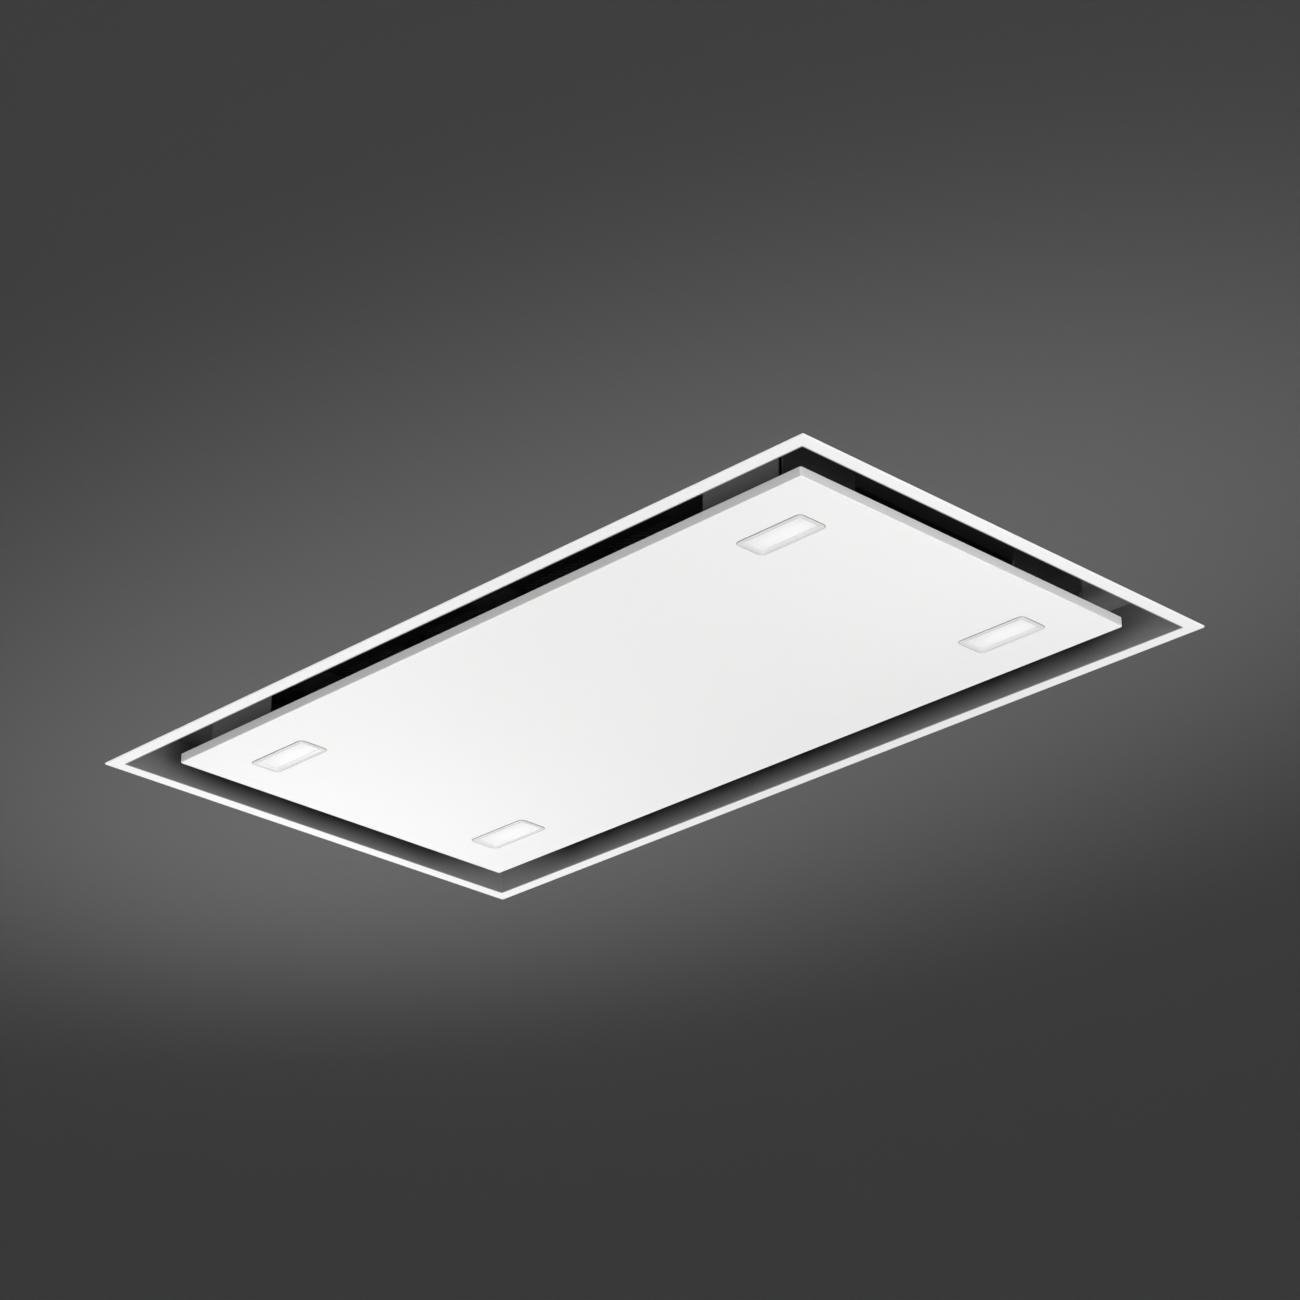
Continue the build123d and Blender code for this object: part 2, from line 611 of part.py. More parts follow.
def scroll_housing():
    """The scroll's floor and wall, with the round opening for the inlet ring."""
    inside = volute()
    wall = Pos(0, 0, scroll_base) * extrude(offset(inside, steel), scroll_height - steel)
    wall -= Pos(0, 0, scroll_base + steel) * extrude(inside, scroll_height)
    opening = ring_throat + steel + ring_bell + snug
    wall -= Pos(blower_x, blower_y, scroll_base) * Cylinder(opening, 4 * steel)
    return wall - beyond_outlet()


def scroll_cover():
    plate = Pos(0, 0, scroll_top - steel) * extrude(offset(volute(), steel), steel)
    return plate - beyond_outlet()


def inlet_ring():
    """A bell mouth turned from the scroll's floor into the impeller's eye."""
    outer = ring_throat + steel
    flare = outer + ring_bell
    low = scroll_base - steel
    return Pos(blower_x, blower_y, 0) * turned(
        (flare + ring_flange, low), (flare + ring_flange, scroll_base), (flare, scroll_base),
        (outer, scroll_base + ring_bell), (outer, ring_top), (ring_throat, ring_top),
        (ring_throat, scroll_base + ring_bell - steel / 2), (flare - steel / 2, low))


def impeller_blade():
    """A strip curved forward in the direction of turning."""
    inner, outer = impeller_inner + blade_root, impeller_radius - blade_root
    tip = (outer * cos(radians(blade_sweep)), outer * sin(radians(blade_sweep)))
    section = trace(SagittaArc((inner, 0), tip, blade_camber), blade_sheet)
    low, high = impeller_bottom + ring_thick / 2, impeller_top - plate_thick / 2
    return Pos(0, 0, low) * extrude(section, high - low)


def impeller():
    """A ring and a back plate joined by a cage of forward-curved blades."""
    ring = Pos(0, 0, impeller_bottom) * extrude(Circle(impeller_radius) - Circle(impeller_inner), ring_thick)
    plate = Pos(0, 0, impeller_top - plate_thick) * extrude(
        Circle(impeller_radius) - Circle(hub_hole), plate_thick)
    blades = [place * impeller_blade() for place in PolarLocations(0, blade_count)]
    return Pos(blower_x, blower_y, 0) * (ring + plate + blades)


def rotor_can():
    """The outer rotor of the motor, a can with a flange under the impeller's plate."""
    bore = shaft_radius + running
    bore_end = can_bottom + can_end
    return Pos(blower_x, blower_y, 0) * turned(
        (0, can_bottom), (can_radius - can_edge, can_bottom), (can_radius, can_bottom + can_edge),
        (can_radius, can_top - can_sheet), (can_flange, can_top - can_sheet), (can_flange, can_top),
        (bore, can_top), (bore, bore_end), (0, bore_end))


def motor_stator():
    """The motor's fixed shaft and its flange under the scroll's cover."""
    top = scroll_top - steel
    return Pos(blower_x, blower_y, 0) * turned(
        (0, shaft_end), (shaft_radius, shaft_end), (shaft_radius, stator_low),
        (stator_radius - stator_cone, stator_low), (stator_radius, top - stator_rim), (stator_radius, top),
        (0, top))


def blower_bushes():
    """Four rubber mounts between the scroll and the casing's cover."""
    bush = extrude(Circle(bush_radius), lid_under - scroll_top)
    half = bush_spacing / 2
    return [Pos(blower_x + x, blower_y + y, scroll_top) * bush for x in (-half, half) for y in (-half, half)]


# Exhaust

def square_to_round(grow, x0, x1):
    """A transition from the scroll's rectangular outlet to the round duct, each grown outwards.
    A flat triangle stands on each side of the rectangle, and a fan of facets on each corner."""
    half_y, half_z = outlet_width / 2 + grow, scroll_height / 2 - steel + grow
    radius = duct_radius + snug + grow
    signs = [(1, 1), (-1, 1), (-1, -1), (1, -1)]
    corners = [Vector(x0, duct_y + y * half_y, duct_z + z * half_z) for y, z in signs]
    angles = [radians(90 * k / adapter_facets) for k in range(4 * adapter_facets)]
    rim = [Vector(x1, duct_y + radius * cos(angle), duct_z + radius * sin(angle)) for angle in angles]
    rings = [corners, rim]
    for k in range(4):
        first, last = k * adapter_facets, (k + 1) * adapter_facets
        for step in range(first, last):
            rings.append([corners[k], rim[step], rim[(step + 1) % len(rim)]])
        rings.append([corners[k], rim[last % len(rim)], corners[(k + 1) % 4]])
    return Solid(Shell([Face(Wire.make_polygon(ring)) for ring in rings]))


def outlet_adapter():
    end = duct_start - snug
    return square_to_round(adapter_wall, outlet_end, end) - square_to_round(0, outlet_end, end)


def duct_collar():
    """A spigot with a fixing flange and stop ring outside, and bosses for the flaps' pin inside."""
    flange_end = casing_x + duct_flange_thick
    stop_end = flange_end + duct_stop
    section = Polyline(
        (duct_inner, duct_start), (duct_radius, duct_start), (duct_radius, casing_x),
        (flange_radius, casing_x), (flange_radius, flange_end), (duct_radius + duct_stop_rise, flange_end),
        (duct_radius, stop_end), (duct_radius, duct_end - duct_lead),
        (duct_radius - duct_lead_depth, duct_end), (duct_inner, duct_end), close=True)
    collar = revolve(Plane.XZ * make_face(section), Axis.Z)
    collar = Pos(0, duct_y, duct_z) * Rot(0, 90, 0) * collar
    boss = Cylinder(damper_boss, damper_boss_length + duct_wall)
    middle = duct_inner + (duct_wall - damper_boss_length) / 2
    pin_place = Pos(damper_x, duct_y, duct_z)
    for side in (-1, 1):
        collar += pin_place * Pos(0, 0, side * middle) * boss
    return collar - pin_place * Cylinder(pin_radius, 2 * flange_radius)


def damper_pin():
    return Pos(damper_x, duct_y, duct_z) * Cylinder(pin_radius, 2 * (duct_radius - pin_inset))


def damper_flap(side):
    """Half a disc, with knuckles that share the pin with the other half's."""
    disc = Pos(-damper_sheet / 2, 0, 0) * extrude(Plane.YZ * Circle(flap_radius), damper_sheet)
    other = sorted((-side * duct_radius, side * snug))
    leaf = disc - block(-damper_sheet, damper_sheet, *other, -duct_radius, duct_radius)
    tube_radius = pin_radius + damper_tube
    room = tube_radius + snug
    band = 2 * damper_span / damper_bands
    for k, middle in enumerate(spread(damper_bands, damper_span - band / 2)):
        if (k % 2 == 0) == (side > 0):
            leaf += Pos(0, 0, middle) * Cylinder(tube_radius, band - 2 * snug)
        else:
            reach = band / 2 + snug
            leaf -= block(-room, room, -room, room, middle - reach, middle + reach)
    for end in (-1, 1):
        span = sorted((end * damper_span, end * duct_radius))
        leaf -= block(-room, room, -damper_boss - 1, damper_boss + 1, *span)
    leaf -= Cylinder(pin_radius + running, 2 * duct_radius)
    return Pos(damper_x, duct_y, duct_z) * leaf


# Electrics

def junction_corners():
    """The places of the lid's screws on the junction box."""
    y = junction_width / 2 - post_inset
    z_low, z_high = junction_base + post_inset, junction_base + junction_height - post_inset
    return [(side_y, z) for side_y in (-y, y) for z in (z_low, z_high)]


def junction_box():
    """A moulded box on the casing's end wall, open at its far side for the lid."""
    half, high = junction_width / 2, junction_base + junction_height
    box = block(junction_face, -casing_x, -half, half, junction_base, high)
    box = chamfer(box.edges().filter_by(Axis.X), junction_corner)
    box -= block(junction_face, -casing_x - junction_wall, junction_wall - half, half - junction_wall,
                 junction_base + junction_wall, high - junction_wall)
    for y, z in junction_corners():
        box += Pos((junction_face - casing_x) / 2, y, z) * facing_x(post_radius, junction_depth)
    hole = Pos(gland_x, -half, gland_z) * Rot(90, 0, 0) * Cylinder(gland_thread, 4 * junction_wall)
    return box - hole


def junction_lid():
    half = junction_width / 2
    face = junction_face - lid_thick
    lid = block(face, junction_face, -half, half, junction_base, junction_base + junction_height)
    lid = chamfer(lid.edges().filter_by(Axis.X), junction_corner)
    lid = chamfer(lid.faces().sort_by(Axis.X)[0].edges(), lid_edge)
    for y, z in junction_corners():
        lid -= Pos(face, y, z) * facing_x(lid_recess, 2 * lid_recess_depth)
    return lid


def cable_gland():
    """A hexagon body and a domed nut on a threaded stem, bored for the mains cable."""
    stem = junction_wall + gland_stem
    nut_top = gland_hex_height + gland_nut_height
    dome_top = nut_top + gland_dome_height
    nut = turned((0, 0), (gland_nut, 0), (gland_nut, nut_top), (gland_nut - gland_dome, dome_top),
                 (0, dome_top))
    body = nut + extrude(RegularPolygon(gland_hex, 6), gland_hex_height)
    body += Pos(0, 0, -stem) * extrude(Circle(gland_thread), stem)
    body -= Cylinder(gland_bore, 4 * dome_top)
    return Pos(gland_x, -junction_width / 2, gland_z) * Rot(90, 0, 0) * body


def control_box():
    """A closed box on the casing's front wall, with a lid seam, ears and a row of sockets."""
    half = control_length / 2
    face = control_depth - wall_y
    box = block(-half, half, -wall_y, face, control_base, control_top)
    box = chamfer(box.edges().filter_by(Axis.Y), control_edge)
    seam = face - seam_inset
    rebate = block(-half, half, seam, seam + seam_width, control_base, control_top)
    rebate -= block(seam_depth - half, half - seam_depth, seam, seam + seam_width,
                    control_base + seam_depth, control_top - seam_depth)
    box -= rebate
    low = control_base + socket_rise
    for k in range(socket_count):
        x = socket_start + k * socket_pitch - half
        box -= block(x, x + socket_length, face - socket_depth, face, low, low + socket_height)
    box += block(-half - ear_length, half + ear_length, -wall_y, ear_sheet - wall_y, low, low + ear_height)
    return Pos(control_x, 0, 0) * box


def capacitor():
    """The motor's capacitor, a can with a crimped rim and two blade terminals."""
    radius, height = capacitor_radius, capacitor_height
    can = turned((0, 0), (radius, 0), (radius, height - can_bead), (radius - can_bead, height),
                 (radius - 3 * can_bead, height), (radius - 3 * can_bead, height - can_well),
                 (0, height - can_well))
    half = terminal_width / 2
    for x in (-terminal_spacing / 2, terminal_spacing / 2):
        can += block(x, x + terminal_sheet, -half, half, height - can_bead, height + terminal_height)
    return Pos(control_x + capacitor_offset, control_depth / 2 - wall_y, control_top) * can


def led_driver():
    """A sealed box on the casing's rear wall, with a drilled ear at each end."""
    half = driver_length / 2
    middle = driver_base + driver_height / 2
    box = block(-half, half, wall_y - driver_depth, wall_y, driver_base, driver_base + driver_height)
    box = chamfer(box.edges().filter_by(Axis.Y), driver_edge)
    reach = half + ear_length
    box += block(-reach, reach, wall_y - ear_sheet, wall_y, middle - ear_height / 2, middle + ear_height / 2)
    for x in (-half - ear_length / 2, half + ear_length / 2):
        box -= Pos(x, wall_y, middle) * Rot(90, 0, 0) * Cylinder(driver_hole, 4 * ear_sheet)
    return Pos(driver_x, 0, 0) * box


def save_recess():
    save("ceiling_frame", ceiling_frame())
    save("recess_rim", recess_rim())
    save("inlet_plate", inlet_plate())


def save_panel():
    save("panel_tray", panel_tray())
    save("panel_stiffeners", *panel_stiffeners())
    save("hinge_mounts", *hinge_mounts())
    for k, (x, y) in enumerate(lamp_spots(), 1):
        save(f"lamp_bezel_{k}", Pos(x, y, 0) * lamp_bezel())
        save(f"lamp_lens_{k}", Pos(x, y, 0) * lamp_lens())
        save(f"lamp_housing_{k}", Pos(x, y, 0) * lamp_housing())
    save("lamp_clips", *lamp_clips())


def save_hinge_and_catch():
    place = Pos(tab_middle, 0, 0)
    save("hinge_leaves_fixed", *mirrored_x(place * hinge_leaf_fixed()))
    save("hinge_leaves_moving", *mirrored_x(place * hinge_leaf_moving()))
    save("hinge_pins", *mirrored_x(place * pin_shape(pin_radius)))
    save("catch_magnets", *mirrored_x(place * catch_magnet()))
    save("strike_plates", *mirrored_x(place * strike_plate()))


def save_filters():
    front, rear = filter_rails()
    save("filter_rail_front", front)
    save("filter_rail_rear", rear)
    for k, x in enumerate(filter_places(), 1):
        save(f"filter_frame_{k}", Pos(x, 0, 0) * filter_frame())
        save(f"filter_core_{k}", Pos(x, 0, 0) * filter_core())
        save(f"filter_latch_{k}", Pos(x, 0, 0) * filter_latch())
    save("latch_keepers", *[Pos(x, 0, 0) * latch_keeper() for x in filter_places()])


def save_casing():
    save("casing_shell", casing_shell())
    save("casing_cover", casing_cover())
    save("hanger_brackets", *at_corners(hanger_bracket()))
    save("casing_screws", *casing_screws())
    save("cover_screws", *cover_screws())


def save_blower():
    save("scroll_housing", scroll_housing())
    save("scroll_cover", scroll_cover())
    save("inlet_ring", inlet_ring())
    save("impeller", impeller())
    save("rotor_can", rotor_can())
    save("motor_stator", motor_stator())
    save("blower_bushes", *blower_bushes())


def save_exhaust():
    save("outlet_adapter", outlet_adapter())
    save("duct_collar", duct_collar())
    save("damper_pin", damper_pin())
    save("damper_flap_left", damper_flap(1))
    save("damper_flap_right", damper_flap(-1))


def save_electrics():
    save("junction_box", junction_box())
    save("junction_lid", junction_lid())
    save("cable_gland", cable_gland())
    save("control_box", control_box())
    save("capacitor", capacitor())
    save("led_driver", led_driver())


os.makedirs("parts", exist_ok=True)
save_recess()
save_panel()
save_hinge_and_catch()
save_filters()
save_casing()
save_blower()
save_exhaust()
save_electrics()
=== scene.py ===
import json
import math

import bmesh
import bpy
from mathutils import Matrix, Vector

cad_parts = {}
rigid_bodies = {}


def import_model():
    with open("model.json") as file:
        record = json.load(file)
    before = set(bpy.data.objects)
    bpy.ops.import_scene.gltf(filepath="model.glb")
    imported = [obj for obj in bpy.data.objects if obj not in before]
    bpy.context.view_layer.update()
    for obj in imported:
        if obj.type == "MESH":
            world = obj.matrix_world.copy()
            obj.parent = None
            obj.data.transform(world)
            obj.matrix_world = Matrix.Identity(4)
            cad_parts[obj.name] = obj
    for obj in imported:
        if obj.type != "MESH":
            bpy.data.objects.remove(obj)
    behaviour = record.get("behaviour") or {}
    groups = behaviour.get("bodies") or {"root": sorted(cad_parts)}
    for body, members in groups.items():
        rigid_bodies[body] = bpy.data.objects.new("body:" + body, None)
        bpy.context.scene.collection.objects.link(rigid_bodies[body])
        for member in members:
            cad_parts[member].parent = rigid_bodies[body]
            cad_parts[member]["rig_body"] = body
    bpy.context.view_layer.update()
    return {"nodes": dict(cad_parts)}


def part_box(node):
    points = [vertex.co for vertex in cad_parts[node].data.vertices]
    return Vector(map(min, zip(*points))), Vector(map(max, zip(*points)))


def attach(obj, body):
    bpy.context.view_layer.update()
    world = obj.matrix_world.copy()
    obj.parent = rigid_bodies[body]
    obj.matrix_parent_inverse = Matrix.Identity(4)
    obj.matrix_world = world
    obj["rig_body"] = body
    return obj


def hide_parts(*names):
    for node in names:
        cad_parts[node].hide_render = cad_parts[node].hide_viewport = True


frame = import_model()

nodes = frame["nodes"]
mm = 0.001


def addObject(name, data):
    made = bpy.data.objects.new(name, data)
    bpy.context.scene.collection.objects.link(made)
    return made


def aimAlong(made, direction):
    made.rotation_mode = "QUATERNION"
    made.rotation_quaternion = direction.to_track_quat("-Z", "Y")


def newMesh(name, points, faces=()):
    mesh = bpy.data.meshes.new(name)
    mesh.from_pydata(points, [], faces)
    mesh.update()
    return mesh


# ---- camera, room and lights ----

cameraPlan = {
    "lens": 102.85, "sensor": 36.0,
    "aim": (0.0848, -0.0605, 0.0), "distance": 3.233,
    "azimuth": 45.85, "elevation": -25.06,
}


def placeCamera(plan):
    turn, rise = math.radians(plan["azimuth"]), math.radians(plan["elevation"])
    away = Vector((math.sin(turn) * math.cos(rise), -math.cos(turn) * math.cos(rise), math.sin(rise)))
    data = bpy.data.cameras.new("viewer")
    data.lens, data.sensor_width = plan["lens"], plan["sensor"]
    data.clip_start, data.clip_end = 0.05, 120
    viewer = addObject("viewer", data)
    viewer.location = Vector(plan["aim"]) + away * plan["distance"]
    aimAlong(viewer, -away)
    bpy.context.scene.camera = viewer


placeCamera(cameraPlan)
bpy.context.scene.view_settings.view_transform = "Standard"
print("camera placed")


# ---- node trees: a call puts a node down with its values and settings ----

nodeGrid = {"rows": 5, "across": 240, "down": 320}


def putNode(tree, kind, values=None, **settings):
    # nodes stand in columns, in the order in which they are made
    node = tree.nodes.new(kind)
    column, row = divmod(len(tree.nodes) - 1, nodeGrid["rows"])
    node.location = (column * nodeGrid["across"], -row * nodeGrid["down"])
    for name, value in settings.items():
        setattr(node, name, value)
    for name, value in (values or {}).items():
        node.inputs[name].default_value = value
    return node


def putMath(tree, operation, values=None, **settings):
    return putNode(tree, "ShaderNodeMath", values, operation=operation, **settings)


def putRange(tree, source=(0.0, 1.0), target=(0.0, 1.0), kind="LINEAR"):
    values = {"From Min": source[0], "From Max": source[1], "To Min": target[0], "To Max": target[1]}
    return putNode(tree, "ShaderNodeMapRange", values, interpolation_type=kind)


def putNoise(tree, detail, rough=0.5, scale=5.0):
    return putNode(tree, "ShaderNodeTexNoise", {"Detail": detail, "Roughness": rough, "Scale": scale})


def colourMix(tree, first=None, second=None):
    node = putNode(tree, "ShaderNodeMix", data_type="RGBA")
    for socket, colour in ((6, first), (7, second)):
        if colour:
            node.inputs[socket].default_value = colour
    return node


def joinAll(tree, links):
    for start, startSocket, end, endSocket in links:
        tree.links.new(start.outputs[startSocket], end.inputs[endSocket])


def newMaterial(name):
    material = bpy.data.materials.new(name)
    material.use_nodes = True
    material.node_tree.nodes.clear()
    return material, material.node_tree


socketKinds = {float: "NodeSocketFloat", int: "NodeSocketInt", tuple: "NodeSocketVector"}


def addInputs(tree, inputs):
    # the kind of an input follows from its value
    for label, value in inputs.items():
        socket = tree.interface.new_socket(label, in_out="INPUT", socket_type=socketKinds[type(value)])
        socket.default_value = value


def newGroup(name, inputs, outputs):
    # every shader group takes a place on the object and puts out numbers
    group = bpy.data.node_groups.new(name, "ShaderNodeTree")
    group.interface.new_socket("Vector", in_out="INPUT", socket_type="NodeSocketVector")
    addInputs(group, inputs)
    for label in outputs:
        group.interface.new_socket(label, in_out="OUTPUT", socket_type="NodeSocketFloat")
    start = putNode(group, "NodeGroupInput")
    end = putNode(group, "NodeGroupOutput")
    return group, start, end


roomPlan = {
    "ceilingReach": 9.0, "ceilingHeight": 1.55 * mm, "openHalf": (0.441, 0.241),
    # the ceiling's near colour is painted light, a pool round the object; the far colour is the plain dark
    # plaster
    "ceilingPaintedLitNear": (0.092, 0.092, 0.094, 1), "ceilingFar": (0.022, 0.022, 0.023, 1),
    "floorReach": 45, "floorHeight": -3.4, "floorColour": (0.80, 0.80, 0.79, 1),
    "worldColour": (0.93, 0.935, 0.94, 1), "worldStrength": 0.49, "worldSeen": 0.90,
}


def seenDirectly(tree):
    # 1 for what the camera, a mirror or clear glass sees
    path = putNode(tree, "ShaderNodeLightPath")
    first = putMath(tree, "MAXIMUM")
    both = putMath(tree, "MAXIMUM")
    joinAll(tree, [
        (path, "Is Camera Ray", first, 0), (path, "Is Glossy Ray", first, 1), (first, 0, both, 0),
        (path, "Is Transmission Ray", both, 1)])
    return both


def ceilingMaterial(near, far):
    # matt dark plaster, with a painted pool of light round the object that fades to the plain dark further
    # out
    material, tree = newMaterial("ceilingPlaster")
    where = putNode(tree, "ShaderNodeTexCoord")
    grain = putNoise(tree, 4.0, 0.6, 220.0)
    bump = putNode(tree, "ShaderNodeBump", {"Strength": 0.25, "Distance": 0.001})
    shape = putNode(tree, "ShaderNodeMapping", {"Scale": (1.05, 1.6, 0.0)})
    away = putNode(tree, "ShaderNodeVectorMath", operation="LENGTH")
    # painted light: the ceiling goes from the lit colour round the object to the plain dark
    paintedFalloff = putRange(tree, (0.25, 1.36), kind="SMOOTHSTEP")
    tone = colourMix(tree, near, far)
    paint = putNode(tree, "ShaderNodeBsdfPrincipled", {"Roughness": 0.85})
    clear = putNode(tree, "ShaderNodeBsdfTransparent")
    face = putNode(tree, "ShaderNodeNewGeometry")
    front = putMath(tree, "SUBTRACT", {0: 1.0})
    shown = putMath(tree, "MULTIPLY")
    mix = putNode(tree, "ShaderNodeMixShader")
    out = putNode(tree, "ShaderNodeOutputMaterial")
    joinAll(tree, [
        (where, "Object", grain, "Vector"), (where, "Object", shape, "Vector"), (shape, "Vector", away, 0),
        (away, "Value", paintedFalloff, "Value"), (paintedFalloff, "Result", tone, 0), (tone, 2, paint, "Base Color"),
        (grain, "Fac", bump, "Height"), (bump, "Normal", paint, "Normal"), (face, "Backfacing", front, 1),
        (seenDirectly(tree), 0, shown, 0), (front, 0, shown, 1), (shown, 0, mix, "Fac"),
        (clear, "BSDF", mix, 1), (paint, "BSDF", mix, 2), (mix, "Shader", out, "Surface")])
    return material


def floorMaterial(colour):
    material, tree = newMaterial("paleFloor")
    where = putNode(tree, "ShaderNodeTexCoord")
    cloud = putNoise(tree, 3.0, scale=1.5)
    rough = putRange(tree, target=(0.62, 0.74))
    paint = putNode(tree, "ShaderNodeBsdfPrincipled", {"Base Color": colour})
    pale = putNode(tree, "ShaderNodeEmission", {"Color": colour})
    share = putMath(tree, "MULTIPLY", {1: 0.5})
    mix = putNode(tree, "ShaderNodeMixShader")
    out = putNode(tree, "ShaderNodeOutputMaterial")
    joinAll(tree, [
        (where, "Object", cloud, "Vector"), (cloud, "Fac", rough, "Value"),
        (rough, "Result", paint, "Roughness"), (seenDirectly(tree), 0, share, 0),
        (share, 0, mix, "Fac"), (paint, "BSDF", mix, 1), (pale, "Emission", mix, 2),
        (mix, "Shader", out, "Surface")])
    return material


def studioWorld(plan):
    world = bpy.data.worlds.new("studio")
    world.use_nodes = True
    tree = world.node_tree
    tree.nodes.clear()
    colour = plan["worldColour"]
    fill = putNode(tree, "ShaderNodeBackground", {"Color": colour, "Strength": plan["worldStrength"]})
    pale = putNode(tree, "ShaderNodeBackground", {"Color": colour, "Strength": plan["worldSeen"]})
    mix = putNode(tree, "ShaderNodeMixShader")
    out = putNode(tree, "ShaderNodeOutputWorld")
    joinAll(tree, [
        (seenDirectly(tree), 0, mix, "Fac"), (fill, "Background", mix, 1),
        (pale, "Background", mix, 2), (mix, "Shader", out, "Surface")])
    return world


def levelCorners(x, y, z):
    return [(-x, -y, z), (x, -y, z), (x, y, z), (-x, y, z)]


def buildRoom(plan):
    far, height = plan["ceilingReach"], plan["ceilingHeight"]
    corners = levelCorners(far, far, height) + levelCorners(*plan["openHalf"], height)
    sides = [(k, k + 4, (k + 1) % 4 + 4, (k + 1) % 4) for k in range(4)]  # wound so that they face down
    ceiling = addObject("ceiling", newMesh("ceiling", corners, sides))
    ceiling.data.materials.append(ceilingMaterial(plan["ceilingPaintedLitNear"], plan["ceilingFar"]))
    far, height = plan["floorReach"], plan["floorHeight"]
    floor = addObject("floor", newMesh("floor", levelCorners(far, far, height), [(0, 1, 2, 3)]))
    floor.data.materials.append(floorMaterial(plan["floorColour"]))
    bpy.context.scene.world = studioWorld(plan)


buildRoom(roomPlan)


lampPlans = {
    "nearLeft": {"at": (-0.62, 0.05, -0.60), "aim": (-0.40, 0.02, 0.0), "size": 0.5, "power": 2.5},
    "nearRight": {"at": (0.70, 0.05, -0.65), "aim": (0.38, 0.0, 0.0), "size": 0.5, "power": 1.7},
    "sideRight": {"at": (3.2, -1.2, -1.5), "aim": (0.0, 0.0, 0.0), "size": 1.6, "power": 56},
    "sideFront": {"at": (0.6, -3.2, -1.5), "aim": (0.0, 0.0, 0.0), "size": 1.6, "power": 25},
    "topSoft": {"at": (-1.3, -1.8, 2.2), "aim": (0.0, 0.0, 0.12), "size": 2.6, "power": 32},
    "topBack": {"at": (1.6, 2.0, 1.7), "aim": (0.0, 0.0, 0.12), "size": 2.6, "power": 20},
}


def placeLamps(plans):
    for name, plan in plans.items():
        data = bpy.data.lights.new(name, "AREA")
        data.shape, data.energy = "RECTANGLE", plan["power"]
        data.size = data.size_y = plan["size"]
        lamp = addObject(name, data)
        lamp.location = plan["at"]
        aimAlong(lamp, Vector(plan["aim"]) - Vector(plan["at"]))
        lamp.visible_camera = False


placeLamps(lampPlans)
print("room and lamps placed")


# ---- shared surface effects ----

def makeGrainGroup():
    # noise that can be drawn out in one direction, for brushed and rolled metal
    inputs = {"Stretch": (1, 1, 1), "Scale": 200.0, "Low": 0.0, "High": 1.0}
    group, start, end = newGroup("drawnGrain", inputs, ["Value", "Height"])
    drawn = putNode(group, "ShaderNodeVectorMath", operation="MULTIPLY")
    fine = putNoise(group, 5.0, 0.65)
    half = putMath(group, "MULTIPLY", {1: 0.17})
    broad = putNoise(group, 2.0, 0.5)
    blend = putNode(group, "ShaderNodeMix", {"Factor": 0.35}, data_type="FLOAT")
    spread = putRange(group, (0.3, 0.7))
    joinAll(group, [
        (start, "Vector", drawn, 0), (start, "Stretch", drawn, 1), (drawn, "Vector", fine, "Vector"),
        (drawn, "Vector", broad, "Vector"), (start, "Scale", fine, "Scale"), (start, "Scale", half, 0),
        (half, 0, broad, "Scale"), (fine, "Fac", blend, 2), (broad, "Fac", blend, 3),
        (blend, 0, spread, "Value"), (start, "Low", spread, "To Min"), (start, "High", spread, "To Max"),
        (spread, "Result", end, "Value"), (fine, "Fac", end, "Height")])
    return group


def makeSpangleGroup():
    # the flowers of hot-dip zinc: flat crystals, each a slightly different grey
    group, start, end = newGroup("zincFlowers", {"Scale": 90.0}, ["Tone", "Rough", "Height"])
    warp = putNoise(group, 2.0, scale=60.0)
    moved = putNode(group, "ShaderNodeMix", {"Factor": 0.012}, data_type="VECTOR")
    cells = putNode(group, "ShaderNodeTexVoronoi", feature="F1")
    grey = putNode(group, "ShaderNodeSeparateColor")
    rough = putRange(group, target=(0.38, 0.46))
    joinAll(group, [
        (start, "Vector", warp, "Vector"), (start, "Vector", moved, 4), (warp, "Color", moved, 5),
        (moved, 1, cells, "Vector"), (start, "Scale", cells, "Scale"), (cells, "Color", grey, "Color"),
        (grey, "Green", rough, "Value"), (grey, "Red", end, "Tone"), (rough, "Result", end, "Rough"),
        (cells, "Distance", end, "Height")])
    return group


def makeSkinGroup():
    # spark-eroded mould skin, or the soft ripple of baked powder paint
    inputs = {"Scale": 900.0, "Patch": 14.0, "Low": 0.4, "High": 0.5}
    group, start, end = newGroup("mouldSkin", inputs, ["Height", "Rough", "Cloud"])
    grain = putNoise(group, 3.0, 0.55)
    cloud = putNoise(group, 3.0, 0.6)
    rough = putRange(group, (0.3, 0.7))
    joinAll(group, [
        (start, "Vector", grain, "Vector"), (start, "Vector", cloud, "Vector"),
        (start, "Scale", grain, "Scale"), (start, "Patch", cloud, "Scale"), (cloud, "Fac", rough, "Value"),
        (start, "Low", rough, "To Min"), (start, "High", rough, "To Max"), (grain, "Fac", end, "Height"),
        (rough, "Result", end, "Rough"), (cloud, "Fac", end, "Cloud")])
    return group


